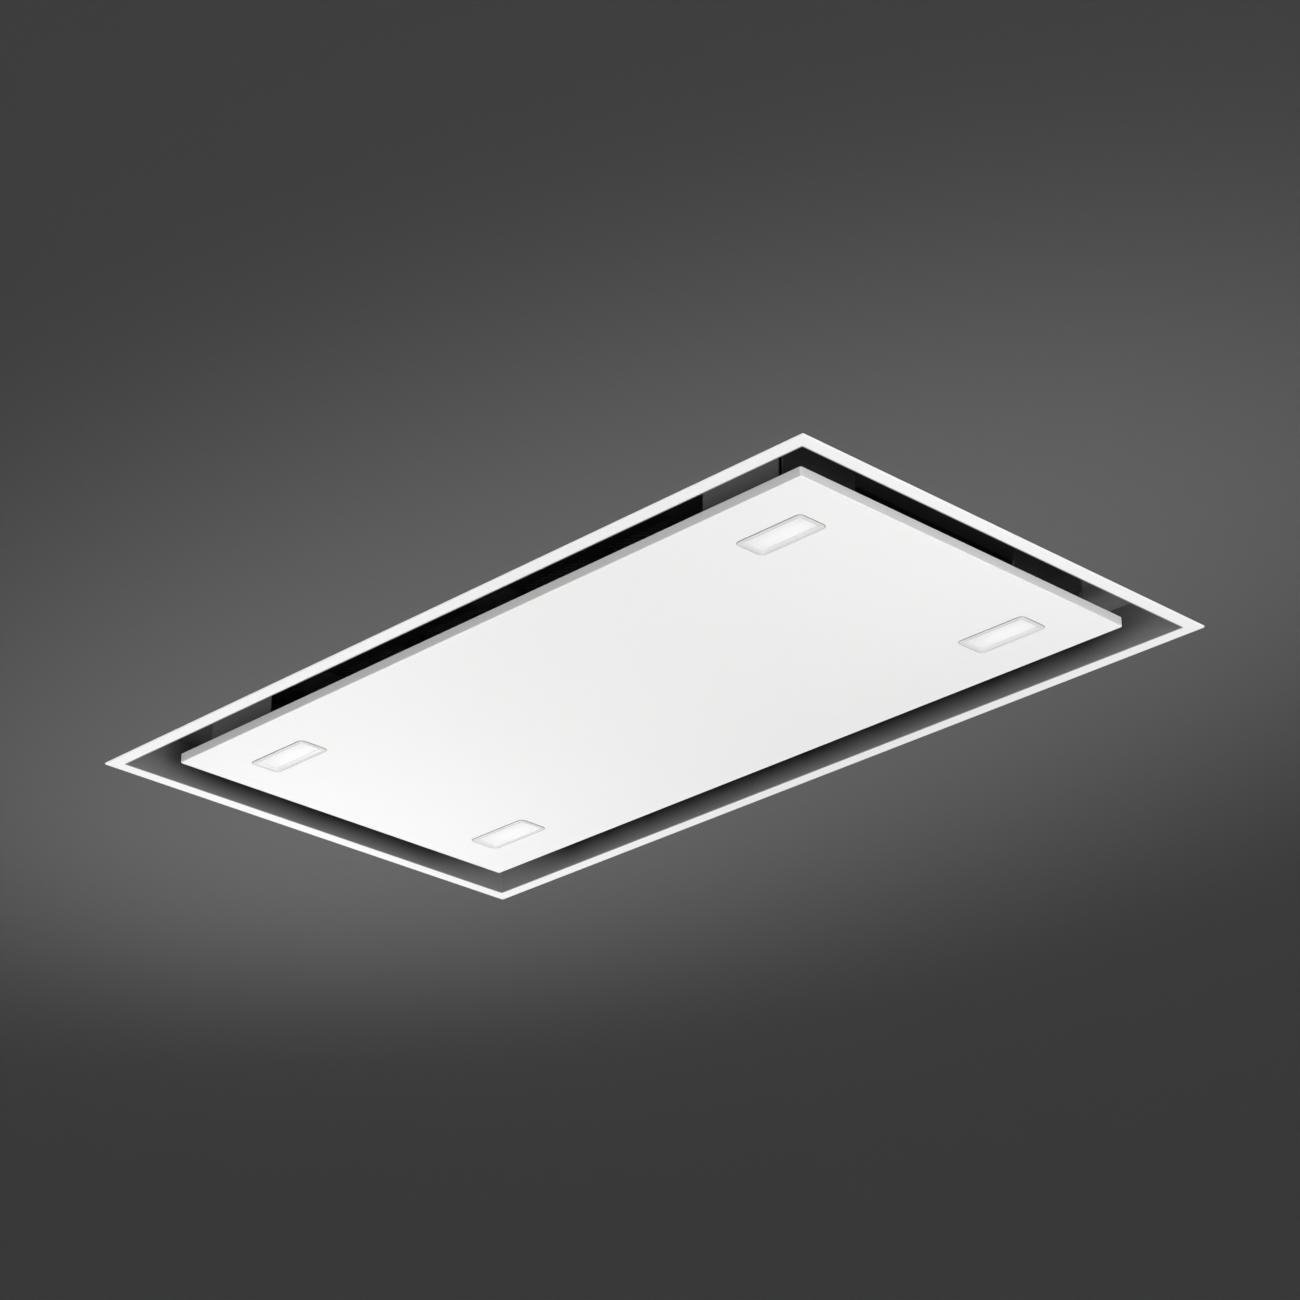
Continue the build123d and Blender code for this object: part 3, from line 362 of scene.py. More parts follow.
def makeDustGroup():
    # a thin film that settles on what faces up, broken by noise
    group, start, end = newGroup("settledDust", {"Amount": 0.3}, ["Mask"])
    shape = putNode(group, "ShaderNodeNewGeometry")
    parts = putNode(group, "ShaderNodeSeparateXYZ")
    up = putRange(group, (0.5, 0.95))
    patch = putNoise(group, 7.0, 0.7, 22.0)
    spread = putRange(group, (0.35, 0.75))
    both = putMath(group, "MULTIPLY")
    scaled = putMath(group, "MULTIPLY", use_clamp=True)
    joinAll(group, [
        (shape, "Normal", parts, "Vector"), (parts, "Z", up, "Value"), (start, "Vector", patch, "Vector"),
        (patch, "Fac", spread, "Value"), (up, "Result", both, 0), (spread, "Result", both, 1),
        (both, 0, scaled, 0), (start, "Amount", scaled, 1), (scaled, 0, end, "Mask")])
    return group


def makePaintedShadeGroup():
    # painted shade that deepens from one place value to another, a little uneven
    # the first place value has no painted shade, the second has it in full
    inputs = {"Place": 0.0, "Clean": 0.0, "FullShade": 0.03, "Amount": 0.0, "Corner": 0.0}
    group, start, end = newGroup("paintedRecessShade", inputs, ["Mask"])
    climb = putRange(group)
    curve = putMath(group, "POWER", {1: 0.72})
    patch = putNoise(group, 4.0, 0.55, 26.0)
    uneven = putRange(group, (0.3, 0.7), (0.92, 1.05))
    both = putMath(group, "MULTIPLY")
    scaled = putMath(group, "MULTIPLY", use_clamp=True)
    # less painted shade in the corners, where |x| + |y| is large
    positive = putNode(group, "ShaderNodeVectorMath", operation="ABSOLUTE")
    along = putNode(group, "ShaderNodeVectorMath", {1: (1.0, 1.0, 0.0)}, operation="DOT_PRODUCT")
    near = putRange(group, (0.56, 0.66), (0.0, 0.8), "SMOOTHSTEP")
    share = putMath(group, "MULTIPLY")
    left = putMath(group, "SUBTRACT", {0: 1.0})
    spread = putMath(group, "MULTIPLY")
    joinAll(group, [
        (start, "Vector", positive, 0), (positive, "Vector", along, 0), (along, "Value", near, "Value"),
        (near, "Result", share, 0), (start, "Corner", share, 1), (share, 0, left, 1),
        (start, "Place", climb, "Value"), (start, "Clean", climb, "From Min"),
        (start, "FullShade", climb, "From Max"), (climb, "Result", curve, 0), (start, "Vector", patch, "Vector"),
        (patch, "Fac", uneven, "Value"), (curve, 0, both, 0), (uneven, "Result", both, 1),
        (both, 0, scaled, 0), (start, "Amount", scaled, 1), (scaled, 0, spread, 0), (left, 0, spread, 1),
        (spread, 0, end, "Mask")])
    return group


grainGroup = makeGrainGroup()
spangleGroup = makeSpangleGroup()
skinGroup = makeSkinGroup()
dustGroup = makeDustGroup()
paintedShadeGroup = makePaintedShadeGroup()
print("surface effects built")


def groupNode(tree, group, values):
    return putNode(tree, "ShaderNodeGroup", values, node_tree=group)


# ---- finishes ----

dustColour = (0.42, 0.40, 0.37, 1)
# the near-black of the painted shade deep in the recess
paintedShadeColour = (0.010, 0.0095, 0.009, 1)


def startFinish(name, strength, deep=0.0002, values=None):
    # a place on the object, a bump, the shader and its output
    material, tree = newMaterial(name)
    where = putNode(tree, "ShaderNodeTexCoord")
    bump = putNode(tree, "ShaderNodeBump", {"Strength": strength, "Distance": deep})
    shader = putNode(tree, "ShaderNodeBsdfPrincipled", values)
    out = putNode(tree, "ShaderNodeOutputMaterial")
    joinAll(tree, [(bump, "Normal", shader, "Normal"), (shader, "BSDF", out, "Surface")])
    return material, tree, where, bump, shader


def skinFinish(name, look):
    # painted, moulded and rubber surfaces: colour that drifts a little, uneven gloss, a fine skin
    coat = {"Coat Weight": look.get("coat", 0.0), "Coat Roughness": look.get("coatRough", 0.2)}
    material, tree, where, bump, shader = startFinish(name, look["bump"], values=coat)
    (low, high), scale, patch = look["rough"], look["grain"], look["patch"]
    skin = groupNode(tree, skinGroup, {"Scale": scale, "Patch": patch, "Low": low, "High": high})
    dust = groupNode(tree, dustGroup, {"Amount": look.get("dust", 0.0)})
    drift = colourMix(tree, look["colour"], look["drift"])
    dusty = colourMix(tree, second=dustColour)
    joinAll(tree, [(where, "Object", node, "Vector") for node in (skin, dust)])
    joinAll(tree, [
        (skin, "Cloud", drift, 0), (dust, "Mask", dusty, 0), (drift, 2, dusty, 6),
        (dusty, 2, shader, "Base Color"), (skin, "Rough", shader, "Roughness"),
        (skin, "Height", bump, "Height")])
    return material


def grainFinish(name, look):
    # brushed, rolled and drawn metal; "metal" below 1 is a satin surface with some body colour
    material, tree, where, bump, shader = startFinish(name, look["bump"], 0.0001)
    stretch, scale, (low, high) = look.get("stretch", (1, 1, 1)), look["grain"], look["rough"]
    tone = groupNode(tree, grainGroup, {"Stretch": stretch, "Scale": scale})
    gloss = groupNode(tree, grainGroup, {"Stretch": stretch, "Scale": scale * 0.6, "Low": low, "High": high})
    dust = groupNode(tree, dustGroup, {"Amount": look.get("dust", 0.0)})
    drift = colourMix(tree, look["colour"], look["drift"])
    dusty = colourMix(tree, second=dustColour)
    # painted shade: a near-black colour mixed in along one axis of the object, for the shade in the recess
    along, shadeStart, shadeFull, amount, corner = look.get("paintedShade", ("Z", 0.0, 0.03, 0.0, 0.0))
    parts = putNode(tree, "ShaderNodeSeparateXYZ")
    place = putMath(tree, "ABSOLUTE")
    paintedShade = groupNode(tree, paintedShadeGroup, {"Clean": shadeStart, "FullShade": shadeFull, "Amount": amount, "Corner": corner})
    paintedShadeMix = colourMix(tree, second=paintedShadeColour)
    plain = putMath(tree, "SUBTRACT", {0: look.get("metal", 1.0)}, use_clamp=True)
    joinAll(tree, [(where, "Object", node, "Vector") for node in (tone, gloss, dust, paintedShade)])
    joinAll(tree, [
        (tone, "Value", drift, 0), (dust, "Mask", dusty, 0), (drift, 2, dusty, 6), (dust, "Mask", plain, 1),
        (dusty, 2, paintedShadeMix, 6), (where, "Object", parts, "Vector"), (parts, along, place, 0),
        (place, 0, paintedShade, "Place"), (paintedShade, "Mask", paintedShadeMix, 0), (paintedShadeMix, 2, shader, "Base Color"),
        (plain, 0, shader, "Metallic"), (gloss, "Value", shader, "Roughness"),
        (tone, "Height", bump, "Height")])
    return material


def zincFinish(name, look):
    # hot-dip galvanised sheet
    material, tree, where, bump, shader = startFinish(name, 0.08)
    flowers = groupNode(tree, spangleGroup, {"Scale": look["scale"]})
    dust = groupNode(tree, dustGroup, {"Amount": look["dust"]})
    tone = colourMix(tree, look["dark"], look["light"])
    dusty = colourMix(tree, second=dustColour)
    plain = putMath(tree, "SUBTRACT", {0: 1.0})
    joinAll(tree, [(where, "Object", node, "Vector") for node in (flowers, dust)])
    joinAll(tree, [
        (flowers, "Tone", tone, 0), (dust, "Mask", dusty, 0), (tone, 2, dusty, 6), (dust, "Mask", plain, 1),
        (dusty, 2, shader, "Base Color"), (plain, 0, shader, "Metallic"),
        (flowers, "Rough", shader, "Roughness"), (flowers, "Height", bump, "Height")])
    return material


def lensFinish(name, look):
    # opal diffuser, lit from behind: brightest over the light source
    paint = {"Base Color": look["colour"], "Emission Strength": look["strength"]}
    paint.update({"Coat Weight": 0.4, "Coat Roughness": 0.08})
    material, tree, where, bump, shader = startFinish(name, 0.15, values=paint)
    skin = groupNode(tree, skinGroup, {"Scale": 1400.0, "Patch": 60.0, "Low": 0.28, "High": 0.36})
    face = putNode(tree, "ShaderNodeUVMap", uv_map="lensFace")
    offset = putNode(tree, "ShaderNodeVectorMath", {1: look["source"]}, operation="SUBTRACT")
    away = putNode(tree, "ShaderNodeVectorMath", operation="LENGTH")
    lit = putRange(tree, (0.30, 1.5), (1.0, 0.0), "SMOOTHSTEP")
    tint = colourMix(tree, look["edge"], look["glow"])
    joinAll(tree, [
        (where, "Object", skin, "Vector"), (face, "UV", offset, 0), (offset, "Vector", away, 0),
        (away, "Value", lit, "Value"), (lit, "Result", tint, 0), (tint, 2, shader, "Emission Color"),
        (skin, "Rough", shader, "Roughness"), (skin, "Height", bump, "Height")])
    return material


# name: (maker, material, look)
finishPlan = {
    "white": (skinFinish, "satinWhitePaint", {
        "colour": (0.86, 0.86, 0.855, 1), "drift": (0.84, 0.84, 0.838, 1), "grain": 900, "patch": 9,
        "rough": (0.34, 0.42), "bump": 0.05}),
    # the walls' painted shade darkens them upwards into the recess, less in the corners
    "wall": (grainFinish, "brushedRecessSteel", {
        "colour": (0.285, 0.285, 0.29, 1), "drift": (0.31, 0.31, 0.315, 1), "grain": 90,
        "stretch": (1.0, 1.0, 16.0), "rough": (0.40, 0.46), "bump": 0.02, "metal": 0.35,
        "paintedShade": ("Z", 0.0, 0.022, 0.98, 1.0)}),
    # the tabs' painted shade darkens them downwards
    "tab": (grainFinish, "satinTabSteel", {
        "colour": (0.37, 0.37, 0.375, 1), "drift": (0.40, 0.40, 0.405, 1), "grain": 90,
        "stretch": (1.0, 1.0, 16.0), "rough": (0.38, 0.44), "bump": 0.02, "metal": 0.30,
        "paintedShade": ("Z", 0.038, 0.008, 0.78, 0.0)}),
    # the inlet sheet's painted shade darkens it inwards from its long sides
    "sheet": (grainFinish, "brushedInletSteel", {
        "colour": (0.38, 0.38, 0.385, 1), "drift": (0.42, 0.42, 0.425, 1), "grain": 90,
        "stretch": (1.0, 16.0, 16.0), "rough": (0.22, 0.28), "bump": 0.015, "metal": 0.70,
        "paintedShade": ("Y", 0.206, 0.186, 0.74, 0.0)}),
    "folded": (grainFinish, "zincPlatedSteel", {
        "colour": (0.50, 0.51, 0.52, 1), "drift": (0.60, 0.61, 0.63, 1), "grain": 300,
        "stretch": (1.0, 6.0, 6.0), "rough": (0.28, 0.42), "bump": 0.05}),
    "casing": (zincFinish, "galvanisedSheet", {
        "dark": (0.555, 0.565, 0.575, 1), "light": (0.635, 0.645, 0.655, 1), "scale": 135, "dust": 0.2}),
    "bright": (grainFinish, "brightSteel", {
        "colour": (0.62, 0.62, 0.61, 1), "drift": (0.72, 0.72, 0.71, 1), "grain": 500,
        "rough": (0.16, 0.28), "bump": 0.03}),
    "black": (skinFinish, "mouldedBlackPlastic", {
        "colour": (0.022, 0.022, 0.023, 1), "drift": (0.034, 0.034, 0.035, 1), "grain": 1300,
        "patch": 40, "rough": (0.42, 0.58), "bump": 0.18, "dust": 0.12}),
    "grey": (skinFinish, "mouldedGreyPlastic", {
        "colour": (0.17, 0.175, 0.18, 1), "drift": (0.21, 0.215, 0.22, 1), "grain": 1100, "patch": 35,
        "rough": (0.40, 0.55), "bump": 0.15, "dust": 0.15}),
    "cast": (grainFinish, "castMotorMetal", {
        "colour": (0.30, 0.30, 0.31, 1), "drift": (0.40, 0.40, 0.41, 1), "grain": 420,
        "rough": (0.42, 0.60), "bump": 0.25, "dust": 0.2}),
    "rubber": (skinFinish, "bushRubber", {
        "colour": (0.018, 0.017, 0.017, 1), "drift": (0.030, 0.029, 0.028, 1), "grain": 700,
        "patch": 90, "rough": (0.62, 0.78), "bump": 0.2}),
    "aluminium": (grainFinish, "brushedAluminium", {
        "colour": (0.70, 0.71, 0.72, 1), "drift": (0.80, 0.81, 0.82, 1), "grain": 260,
        "stretch": (10.0, 1.0, 10.0), "rough": (0.26, 0.38), "bump": 0.05}),
    "filter": (grainFinish, "darkAnodisedFrame", {
        "colour": (0.115, 0.116, 0.12, 1), "drift": (0.155, 0.156, 0.16, 1), "grain": 260,
        "stretch": (10.0, 1.0, 10.0), "rough": (0.30, 0.42), "bump": 0.05}),
    "wire": (grainFinish, "expandedAluminium", {
        "colour": (0.15, 0.15, 0.155, 1), "drift": (0.21, 0.21, 0.215, 1), "grain": 600,
        "rough": (0.24, 0.40), "bump": 0.05}),
    "bezel": (skinFinish, "silverWhiteBezel", {
        "colour": (0.675, 0.675, 0.678, 1), "drift": (0.705, 0.705, 0.708, 1), "grain": 1500,
        "patch": 60, "rough": (0.20, 0.28), "bump": 0.04, "coat": 0.5, "coatRough": 0.12}),
    "gasket": (skinFinish, "greyGasket", {
        "colour": (0.22, 0.22, 0.225, 1), "drift": (0.27, 0.27, 0.275, 1), "grain": 900, "patch": 120,
        "rough": (0.55, 0.68), "bump": 0.12}),
    "lens": (lensFinish, "opalLens", {
        "colour": (0.60, 0.60, 0.60, 1), "glow": (1.0, 0.995, 0.985, 1), "edge": (0.66, 0.66, 0.67, 1),
        "source": (0.1, 0.3, 0.0), "strength": 0.33}),
}
finishes = {name: make(material, look) for name, (make, material, look) in finishPlan.items()}
print("finishes built")


# the nodes that stay as they are, or that something new stands for
restFinish = {
    "bright": ["hinge_pins", "lamp_clips", "casing_screws", "cover_screws", "damper_pin"],
    "black": ["impeller"],
    "wire": ["filter_core_1", "filter_core_2", "filter_core_3"],
}


def dress(node, finish):
    for slot in nodes[node].material_slots:
        slot.material = finishes[finish]


for finish, names in restFinish.items():
    for name in names:
        dress(name, finish)


# ---- softened pieces: the CAD forms with their edges broken ----

def bakedMesh(rough, name):
    # what the modifiers make of an object, as a plain mesh; the object and its modifiers go
    bpy.context.view_layer.update()
    done = bpy.data.meshes.new_from_object(rough.evaluated_get(bpy.context.evaluated_depsgraph_get()))
    done.name = name
    rough.modifiers.clear()
    old = rough.data
    bpy.data.objects.remove(rough)
    bpy.data.meshes.remove(old)
    return done


def evenNormals(mesh, sharp):
    mesh.shade_smooth()
    mesh.set_sharp_from_angle(angle=math.radians(sharp))
    rough = addObject("rough", mesh)
    weigh = rough.modifiers.new("weigh", "WEIGHTED_NORMAL")
    weigh.mode, weigh.weight, weigh.keep_sharp = "FACE_AREA", 70, True
    return bakedMesh(rough, mesh.name)


def cleanedMesh(node, name):
    mesh = nodes[node].data.copy()
    mesh.name = name
    work = bmesh.new()
    work.from_mesh(mesh)
    bmesh.ops.remove_doubles(work, verts=work.verts, dist=2e-6)
    bmesh.ops.dissolve_limit(work, angle_limit=math.radians(0.5), verts=work.verts, edges=work.edges)
    work.normal_update()
    work.to_mesh(mesh)
    work.free()
    return mesh


def closedMesh(name, points, faces, finish):
    mesh = newMesh(name, points, faces)
    work = bmesh.new()
    work.from_mesh(mesh)
    bmesh.ops.recalc_face_normals(work, faces=work.faces)
    work.to_mesh(mesh)
    work.free()
    mesh.materials.append(finishes[finish])
    return mesh


def ridePiece(name, mesh, body, slot, *stoodFor):
    piece = addObject(name, mesh)
    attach(piece, body)
    if stoodFor:
        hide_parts(*stoodFor)
    return piece


def softened(node, name, slot, finish, width):
    dress(node, finish)
    rough = addObject(name + "Rough", cleanedMesh(node, name + "Clean"))
    edge = rough.modifiers.new("edge", "BEVEL")
    edge.width, edge.segments, edge.profile = width, 2, 0.6
    edge.limit_method, edge.angle_limit = "ANGLE", math.radians(40)
    edge.use_clamp_overlap = True
    mesh = evenNormals(bakedMesh(rough, name), 46)
    return ridePiece(name, mesh, nodes[node]["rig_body"], slot, node)


# node: (piece, slot, finish, edge radius in mm)
softPlan = {
    "ceiling_frame": ("coatedFrame", "white_paint", "white", 0.35),
    "panel_tray": ("coatedPanel", "white_paint", "white", 0.25),
    "recess_rim": ("recessWall", "recess_steel", "wall", 0.25),
    "inlet_plate": ("inletSheet", "recess_steel", "sheet", 0.25),
    "panel_stiffeners": ("hatStiffeners", "zinc_steel", "folded", 0.20),
    "hinge_mounts": ("hingeSeats", "zinc_steel", "folded", 0.20),
    "hinge_leaves_fixed": ("fixedLeaves", "zinc_steel", "folded", 0.15),
    "hinge_leaves_moving": ("movingLeaves", "zinc_steel", "folded", 0.15),
    "strike_plates": ("strikePlates", "zinc_steel", "folded", 0.15),
    "catch_magnets": ("catchBlocks", "black_plastic", "black", 0.40),
    "latch_keepers": ("latchKeepers", "bright_steel", "black", 0.15),
    "filter_rail_front": ("frontRail", "zinc_steel", "folded", 0.20),
    "filter_rail_rear": ("rearRail", "zinc_steel", "folded", 0.20),
    "casing_shell": ("casingBody", "zinc_steel", "casing", 0.25),
    "casing_cover": ("casingLid", "zinc_steel", "casing", 0.30),
    "hanger_brackets": ("hangerBrackets", "zinc_steel", "folded", 0.30),
    "scroll_housing": ("scrollBody", "zinc_steel", "casing", 0.25),
    "scroll_cover": ("scrollLid", "zinc_steel", "casing", 0.25),
    "inlet_ring": ("bellMouth", "black_plastic", "black", 0.30),
    "rotor_can": ("rotorCan", "motor_metal", "cast", 0.40),
    "motor_stator": ("motorFlange", "motor_metal", "cast", 0.40),
    "blower_bushes": ("rubberBushes", "rubber", "rubber", 0.80),
    "outlet_adapter": ("outletAdapter", "black_plastic", "black", 0.30),
    "duct_collar": ("ductCollar", "black_plastic", "black", 0.30),
    "damper_flap_left": ("leftFlap", "black_plastic", "black", 0.25),
    "damper_flap_right": ("rightFlap", "black_plastic", "black", 0.25),
    "junction_box": ("junctionBox", "black_plastic", "black", 0.50),
    "junction_lid": ("junctionLid", "black_plastic", "black", 0.50),
    "cable_gland": ("cableGland", "grey_plastic", "grey", 0.30),
    "control_box": ("controlBox", "grey_plastic", "grey", 0.60),
    "led_driver": ("ledDriver", "grey_plastic", "grey", 0.60),
    "capacitor": ("capacitorCan", "aluminium", "aluminium", 0.30),
}
for number in range(1, 4):
    softPlan["filter_frame_%d" % number] = ("filterFrame%d" % number, "aluminium", "filter", 0.30)
    softPlan["filter_latch_%d" % number] = ("filterLatch%d" % number, "black_plastic", "black", 0.30)
for number in range(1, 5):
    softPlan["lamp_bezel_%d" % number] = ("bezel%d" % number, "bezel_plastic", "bezel", 0.20)
    softPlan["lamp_lens_%d" % number] = ("lens%d" % number, "lamp_lens", "lens", 0.25)
    softPlan["lamp_housing_%d" % number] = ("lampBody%d" % number, "aluminium", "aluminium", 0.25)
softPieces = {node: softened(node, *plan[:3], plan[3] * mm) for node, plan in softPlan.items()}
print("softened pieces made:", len(softPieces))

# the long sides' tabs of the inlet sheet are satin, with painted shade downwards; the rest of it is brushed
# darker, with painted shade inwards
tabbed = softPieces["inlet_plate"].data
tabbed.materials.append(finishes["tab"])
for face in tabbed.polygons:
    if abs(face.normal.y) > 0.7:
        face.material_index = 1

# what the room doesn't see is plain zinc: the recess's outside and the inlet sheet's top
wallReach = (0.4362, 0.2362)  # half the recess, to a line inside its walls' sheet
for node in ("recess_rim", "inlet_plate"):
    mesh = softPieces[node].data
    mesh.materials.append(finishes["folded"])
    for face in mesh.polygons:
        normal, middle = face.normal, face.center
        outward = normal.x * middle.x + normal.y * middle.y > 0.02
        atEdge = abs(middle.x) > wallReach[0] or abs(middle.y) > wallReach[1]
        if normal.z > 0.5 or (outward and atEdge and abs(normal.z) < 0.5):
            face.material_index = len(mesh.materials) - 1

# each lens gets a map over its face, so that its glow fades from the light behind it
for number in range(1, 5):
    low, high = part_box("lamp_lens_%d" % number)
    middle, half = (low + high) / 2, (high - low) / 2
    mesh = softPieces["lamp_lens_%d" % number].data
    facing = mesh.uv_layers.get("lensFace") or mesh.uv_layers.new(name="lensFace")
    for loop in mesh.loops:
        point = mesh.vertices[loop.vertex_index].co - middle
        facing.data[loop.index].uv = (point.x / half.x, point.y / half.y)


# ---- gaskets: the grey line round each lamp ----

gasketPlan = {"proud": 0.75, "inside": 1.2, "low": 0.55, "high": 1.05, "soft": 0.2, "corner": 4.6, "steps": 5}


def roundedLoop(middle, length, width, corner, height, steps):
    points = []
    for quarter, (sx, sy) in enumerate(((1, 1), (-1, 1), (-1, -1), (1, -1))):
        for k in range(steps + 1):
            angle = math.pi / 2 * (quarter + k / steps)
            x = middle.x + (sx * (length / 2 - corner) + corner * math.cos(angle)) * mm
            y = middle.y + (sy * (width / 2 - corner) + corner * math.sin(angle)) * mm
            points.append((x, y, height * mm))
    return points


def buildGaskets(plan):
    points, faces = [], []
    wide, soft, inside, foot, top = [plan[key] for key in ("proud", "soft", "inside", "low", "high")]
    # how far each loop stands out from the bezel, and its height
    rings = [(-inside, top), (-inside, foot), (wide - soft, foot), (wide, foot + soft), (wide, top)]
    steps, count = plan["steps"], 4 * (plan["steps"] + 1)
    for number in range(1, 5):
        low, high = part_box("lamp_bezel_%d" % number)
        middle, size = (low + high) / 2, (high - low) / mm
        start = len(points)
        for grow, height in rings:
            length, width = size.x + 2 * grow, size.y + 2 * grow
            points += roundedLoop(middle, length, width, plan["corner"] + grow, height, steps)
        for r in range(len(rings)):
            here, there = start + r * count, start + (r + 1) % len(rings) * count
            for k in range(count):
                after = (k + 1) % count
                faces.append((here + k, here + after, there + after, there + k))
    mesh = closedMesh("bezelGaskets", points, faces, "gasket")
    return ridePiece("bezelGaskets", evenNormals(mesh, 40), "lamp_panel", "rubber")


buildGaskets(gasketPlan)
print("tabs, lens maps and gaskets done")


# ---- repeated details, made with Geometry Nodes ----

def newShapeTree(name, inputs):
    tree = bpy.data.node_groups.new(name, "GeometryNodeTree")
    tree.interface.new_socket("Geometry", in_out="INPUT", socket_type="NodeSocketGeometry")
    addInputs(tree, inputs)
    tree.interface.new_socket("Finish", in_out="INPUT", socket_type="NodeSocketMaterial")
    tree.interface.new_socket("Geometry", in_out="OUTPUT", socket_type="NodeSocketGeometry")
    return tree, putNode(tree, "NodeGroupInput"), putNode(tree, "NodeGroupOutput")


def finishTree(tree, start, end, last, socket="Geometry"):
    real = putNode(tree, "GeometryNodeRealizeInstances")
    paint = putNode(tree, "GeometryNodeSetMaterial")
    joinAll(tree, [
        (last, socket, real, "Geometry"), (real, "Geometry", paint, "Geometry"),
        (start, "Finish", paint, "Material"), (paint, "Geometry", end, "Geometry")])


def grownMesh(name, base, tree, values):
    rough = addObject(name + "Seed", base)
    shape = rough.modifiers.new("shape", "NODES")
    shape.node_group = tree
    for item in tree.interface.items_tree:
        if item.item_type == "SOCKET" and item.in_out == "INPUT" and item.name in values:
            shape[item.identifier] = values[item.name]
    return bakedMesh(rough, name)


def pointCloud(points, turns):
    # vertices that carry the turn of what stands on them, each its own or all the same
    mesh = newMesh("points", [tuple(v * mm for v in p) for p in points])
    turn = mesh.attributes.new("turn", "FLOAT_VECTOR", "POINT")
    for k in range(len(points)):
        turn.data[k].vector = turns if isinstance(turns, tuple) else turns[k]
    return mesh


def scatterTree(name, buildHead):
    # the head that buildHead makes, on every point of the base mesh, turned as the point says
    tree, start, end = newShapeTree(name, {"Radius": 0.004, "Height": 0.002})
    head = buildHead(tree, start)
    named = putNode(tree, "GeometryNodeInputNamedAttribute", {"Name": "turn"}, data_type="FLOAT_VECTOR")
    angle = putNode(tree, "FunctionNodeEulerToRotation")
    place = putNode(tree, "GeometryNodeInstanceOnPoints")
    joinAll(tree, [
        (named, "Attribute", angle, "Euler"), (start, "Geometry", place, "Points"),
        (head, head.outputs[0].name, place, "Instance"), (angle, "Rotation", place, "Rotation")])
    finishTree(tree, start, end, place, "Instances")
    return tree


def hexHead(tree, start):
    # a washer face, and a hexagon with a broken top edge
    shapes = putNode(tree, "GeometryNodeJoinGeometry")
    # sides, lower and upper radius, underside and top: shares of the head's radius and height
    plan = [(24, 1.0, 1.0, 0.0, 0.28), (6, 0.86, 0.86, 0.26, 0.84), (6, 0.86, 0.74, 0.84, 1.0)]
    for sides, low, high, bottom, top in plan:
        solid = putNode(tree, "GeometryNodeMeshCone", {"Vertices": sides})
        tall = top - bottom
        sizes = [("Radius Bottom", low, "Radius"), ("Radius Top", high, "Radius"), ("Depth", tall, "Height")]
        for name, share, source in sizes:
            size = putMath(tree, "MULTIPLY", {1: share})
            joinAll(tree, [(start, source, size, 0), (size, 0, solid, name)])
        foot = putMath(tree, "MULTIPLY", {1: bottom})
        rise = putNode(tree, "ShaderNodeCombineXYZ")
        moved = putNode(tree, "GeometryNodeTransform")
        joinAll(tree, [
            (start, "Height", foot, 0), (foot, 0, rise, "Z"), (rise, "Vector", moved, "Translation"),
            (solid, "Mesh", moved, "Geometry"), (moved, "Geometry", shapes, "Geometry")])
    return shapes


def domeHead(tree, start):
    # a low dome for rivets and spot welds: a sphere pressed flat, its lower half in the sheet
    ball = putNode(tree, "GeometryNodeMeshUVSphere", {"Segments": 16, "Rings": 8, "Radius": 1.0})
    size = putNode(tree, "ShaderNodeCombineXYZ")
    flat = putNode(tree, "GeometryNodeTransform")
    joinAll(tree, [
        (start, "Radius", size, "X"), (start, "Radius", size, "Y"), (start, "Height", size, "Z"),
        (ball, "Mesh", flat, "Geometry"), (size, "Vector", flat, "Scale")])
    return flat


domeTree = scatterTree("domeHeads", domeHead)
# kind: (slot, finish, tree, the angle from which an edge is sharp)
headKinds = {
    "screw": ("bright_steel", "bright", scatterTree("hexHeads", hexHead), 25),
    "rivet": ("bright_steel", "bright", domeTree, 60),
    "weld": ("zinc_steel", "folded", domeTree, 60),
}
upright = (0, 0, 0)
signs = (-1, 1)


def heads(name, kind, points, turns, body, radius, height, *stoodFor):
    slot, finish, tree, sharp = headKinds[kind]
    values = {"Radius": radius * mm, "Height": height * mm, "Finish": finishes[finish]}
    mesh = grownMesh(name, pointCloud(points, turns), tree, values)
    ridePiece(name, evenNormals(mesh, sharp), body, slot, *stoodFor)


def ontoSide(points):
    # the turns of heads that stand on the casing's two long sides
    return [(-math.copysign(math.pi / 2, y), 0, 0) for x, y, z in points]


def clearOf(place, screws):
    return all(abs(abs(place) - screw) > 9 for screw in screws)


# the casing's flange: its top and the lines of its screws, with spot welds between them
flangeTop, flangeX, flangeY = 44.4, 386, 206
longScrews, shortScrews = (110, 330), (120,)
points = [(x, sy * flangeY, flangeTop) for x in (-330, -110, 110, 330) for sy in signs]
points += [(sx * flangeX, y, flangeTop) for sx in signs for y in (-120, 120)]
heads("casingHexScrews", "screw", points, upright, "housing", 4.0, 2.4, "casing_screws")
points = [(x, sy * 201.5, 217.3) for x in (-340, 0, 340) for sy in signs]
heads("coverHexScrews", "screw", points, ontoSide(points), "housing", 4.0, 2.4, "cover_screws")

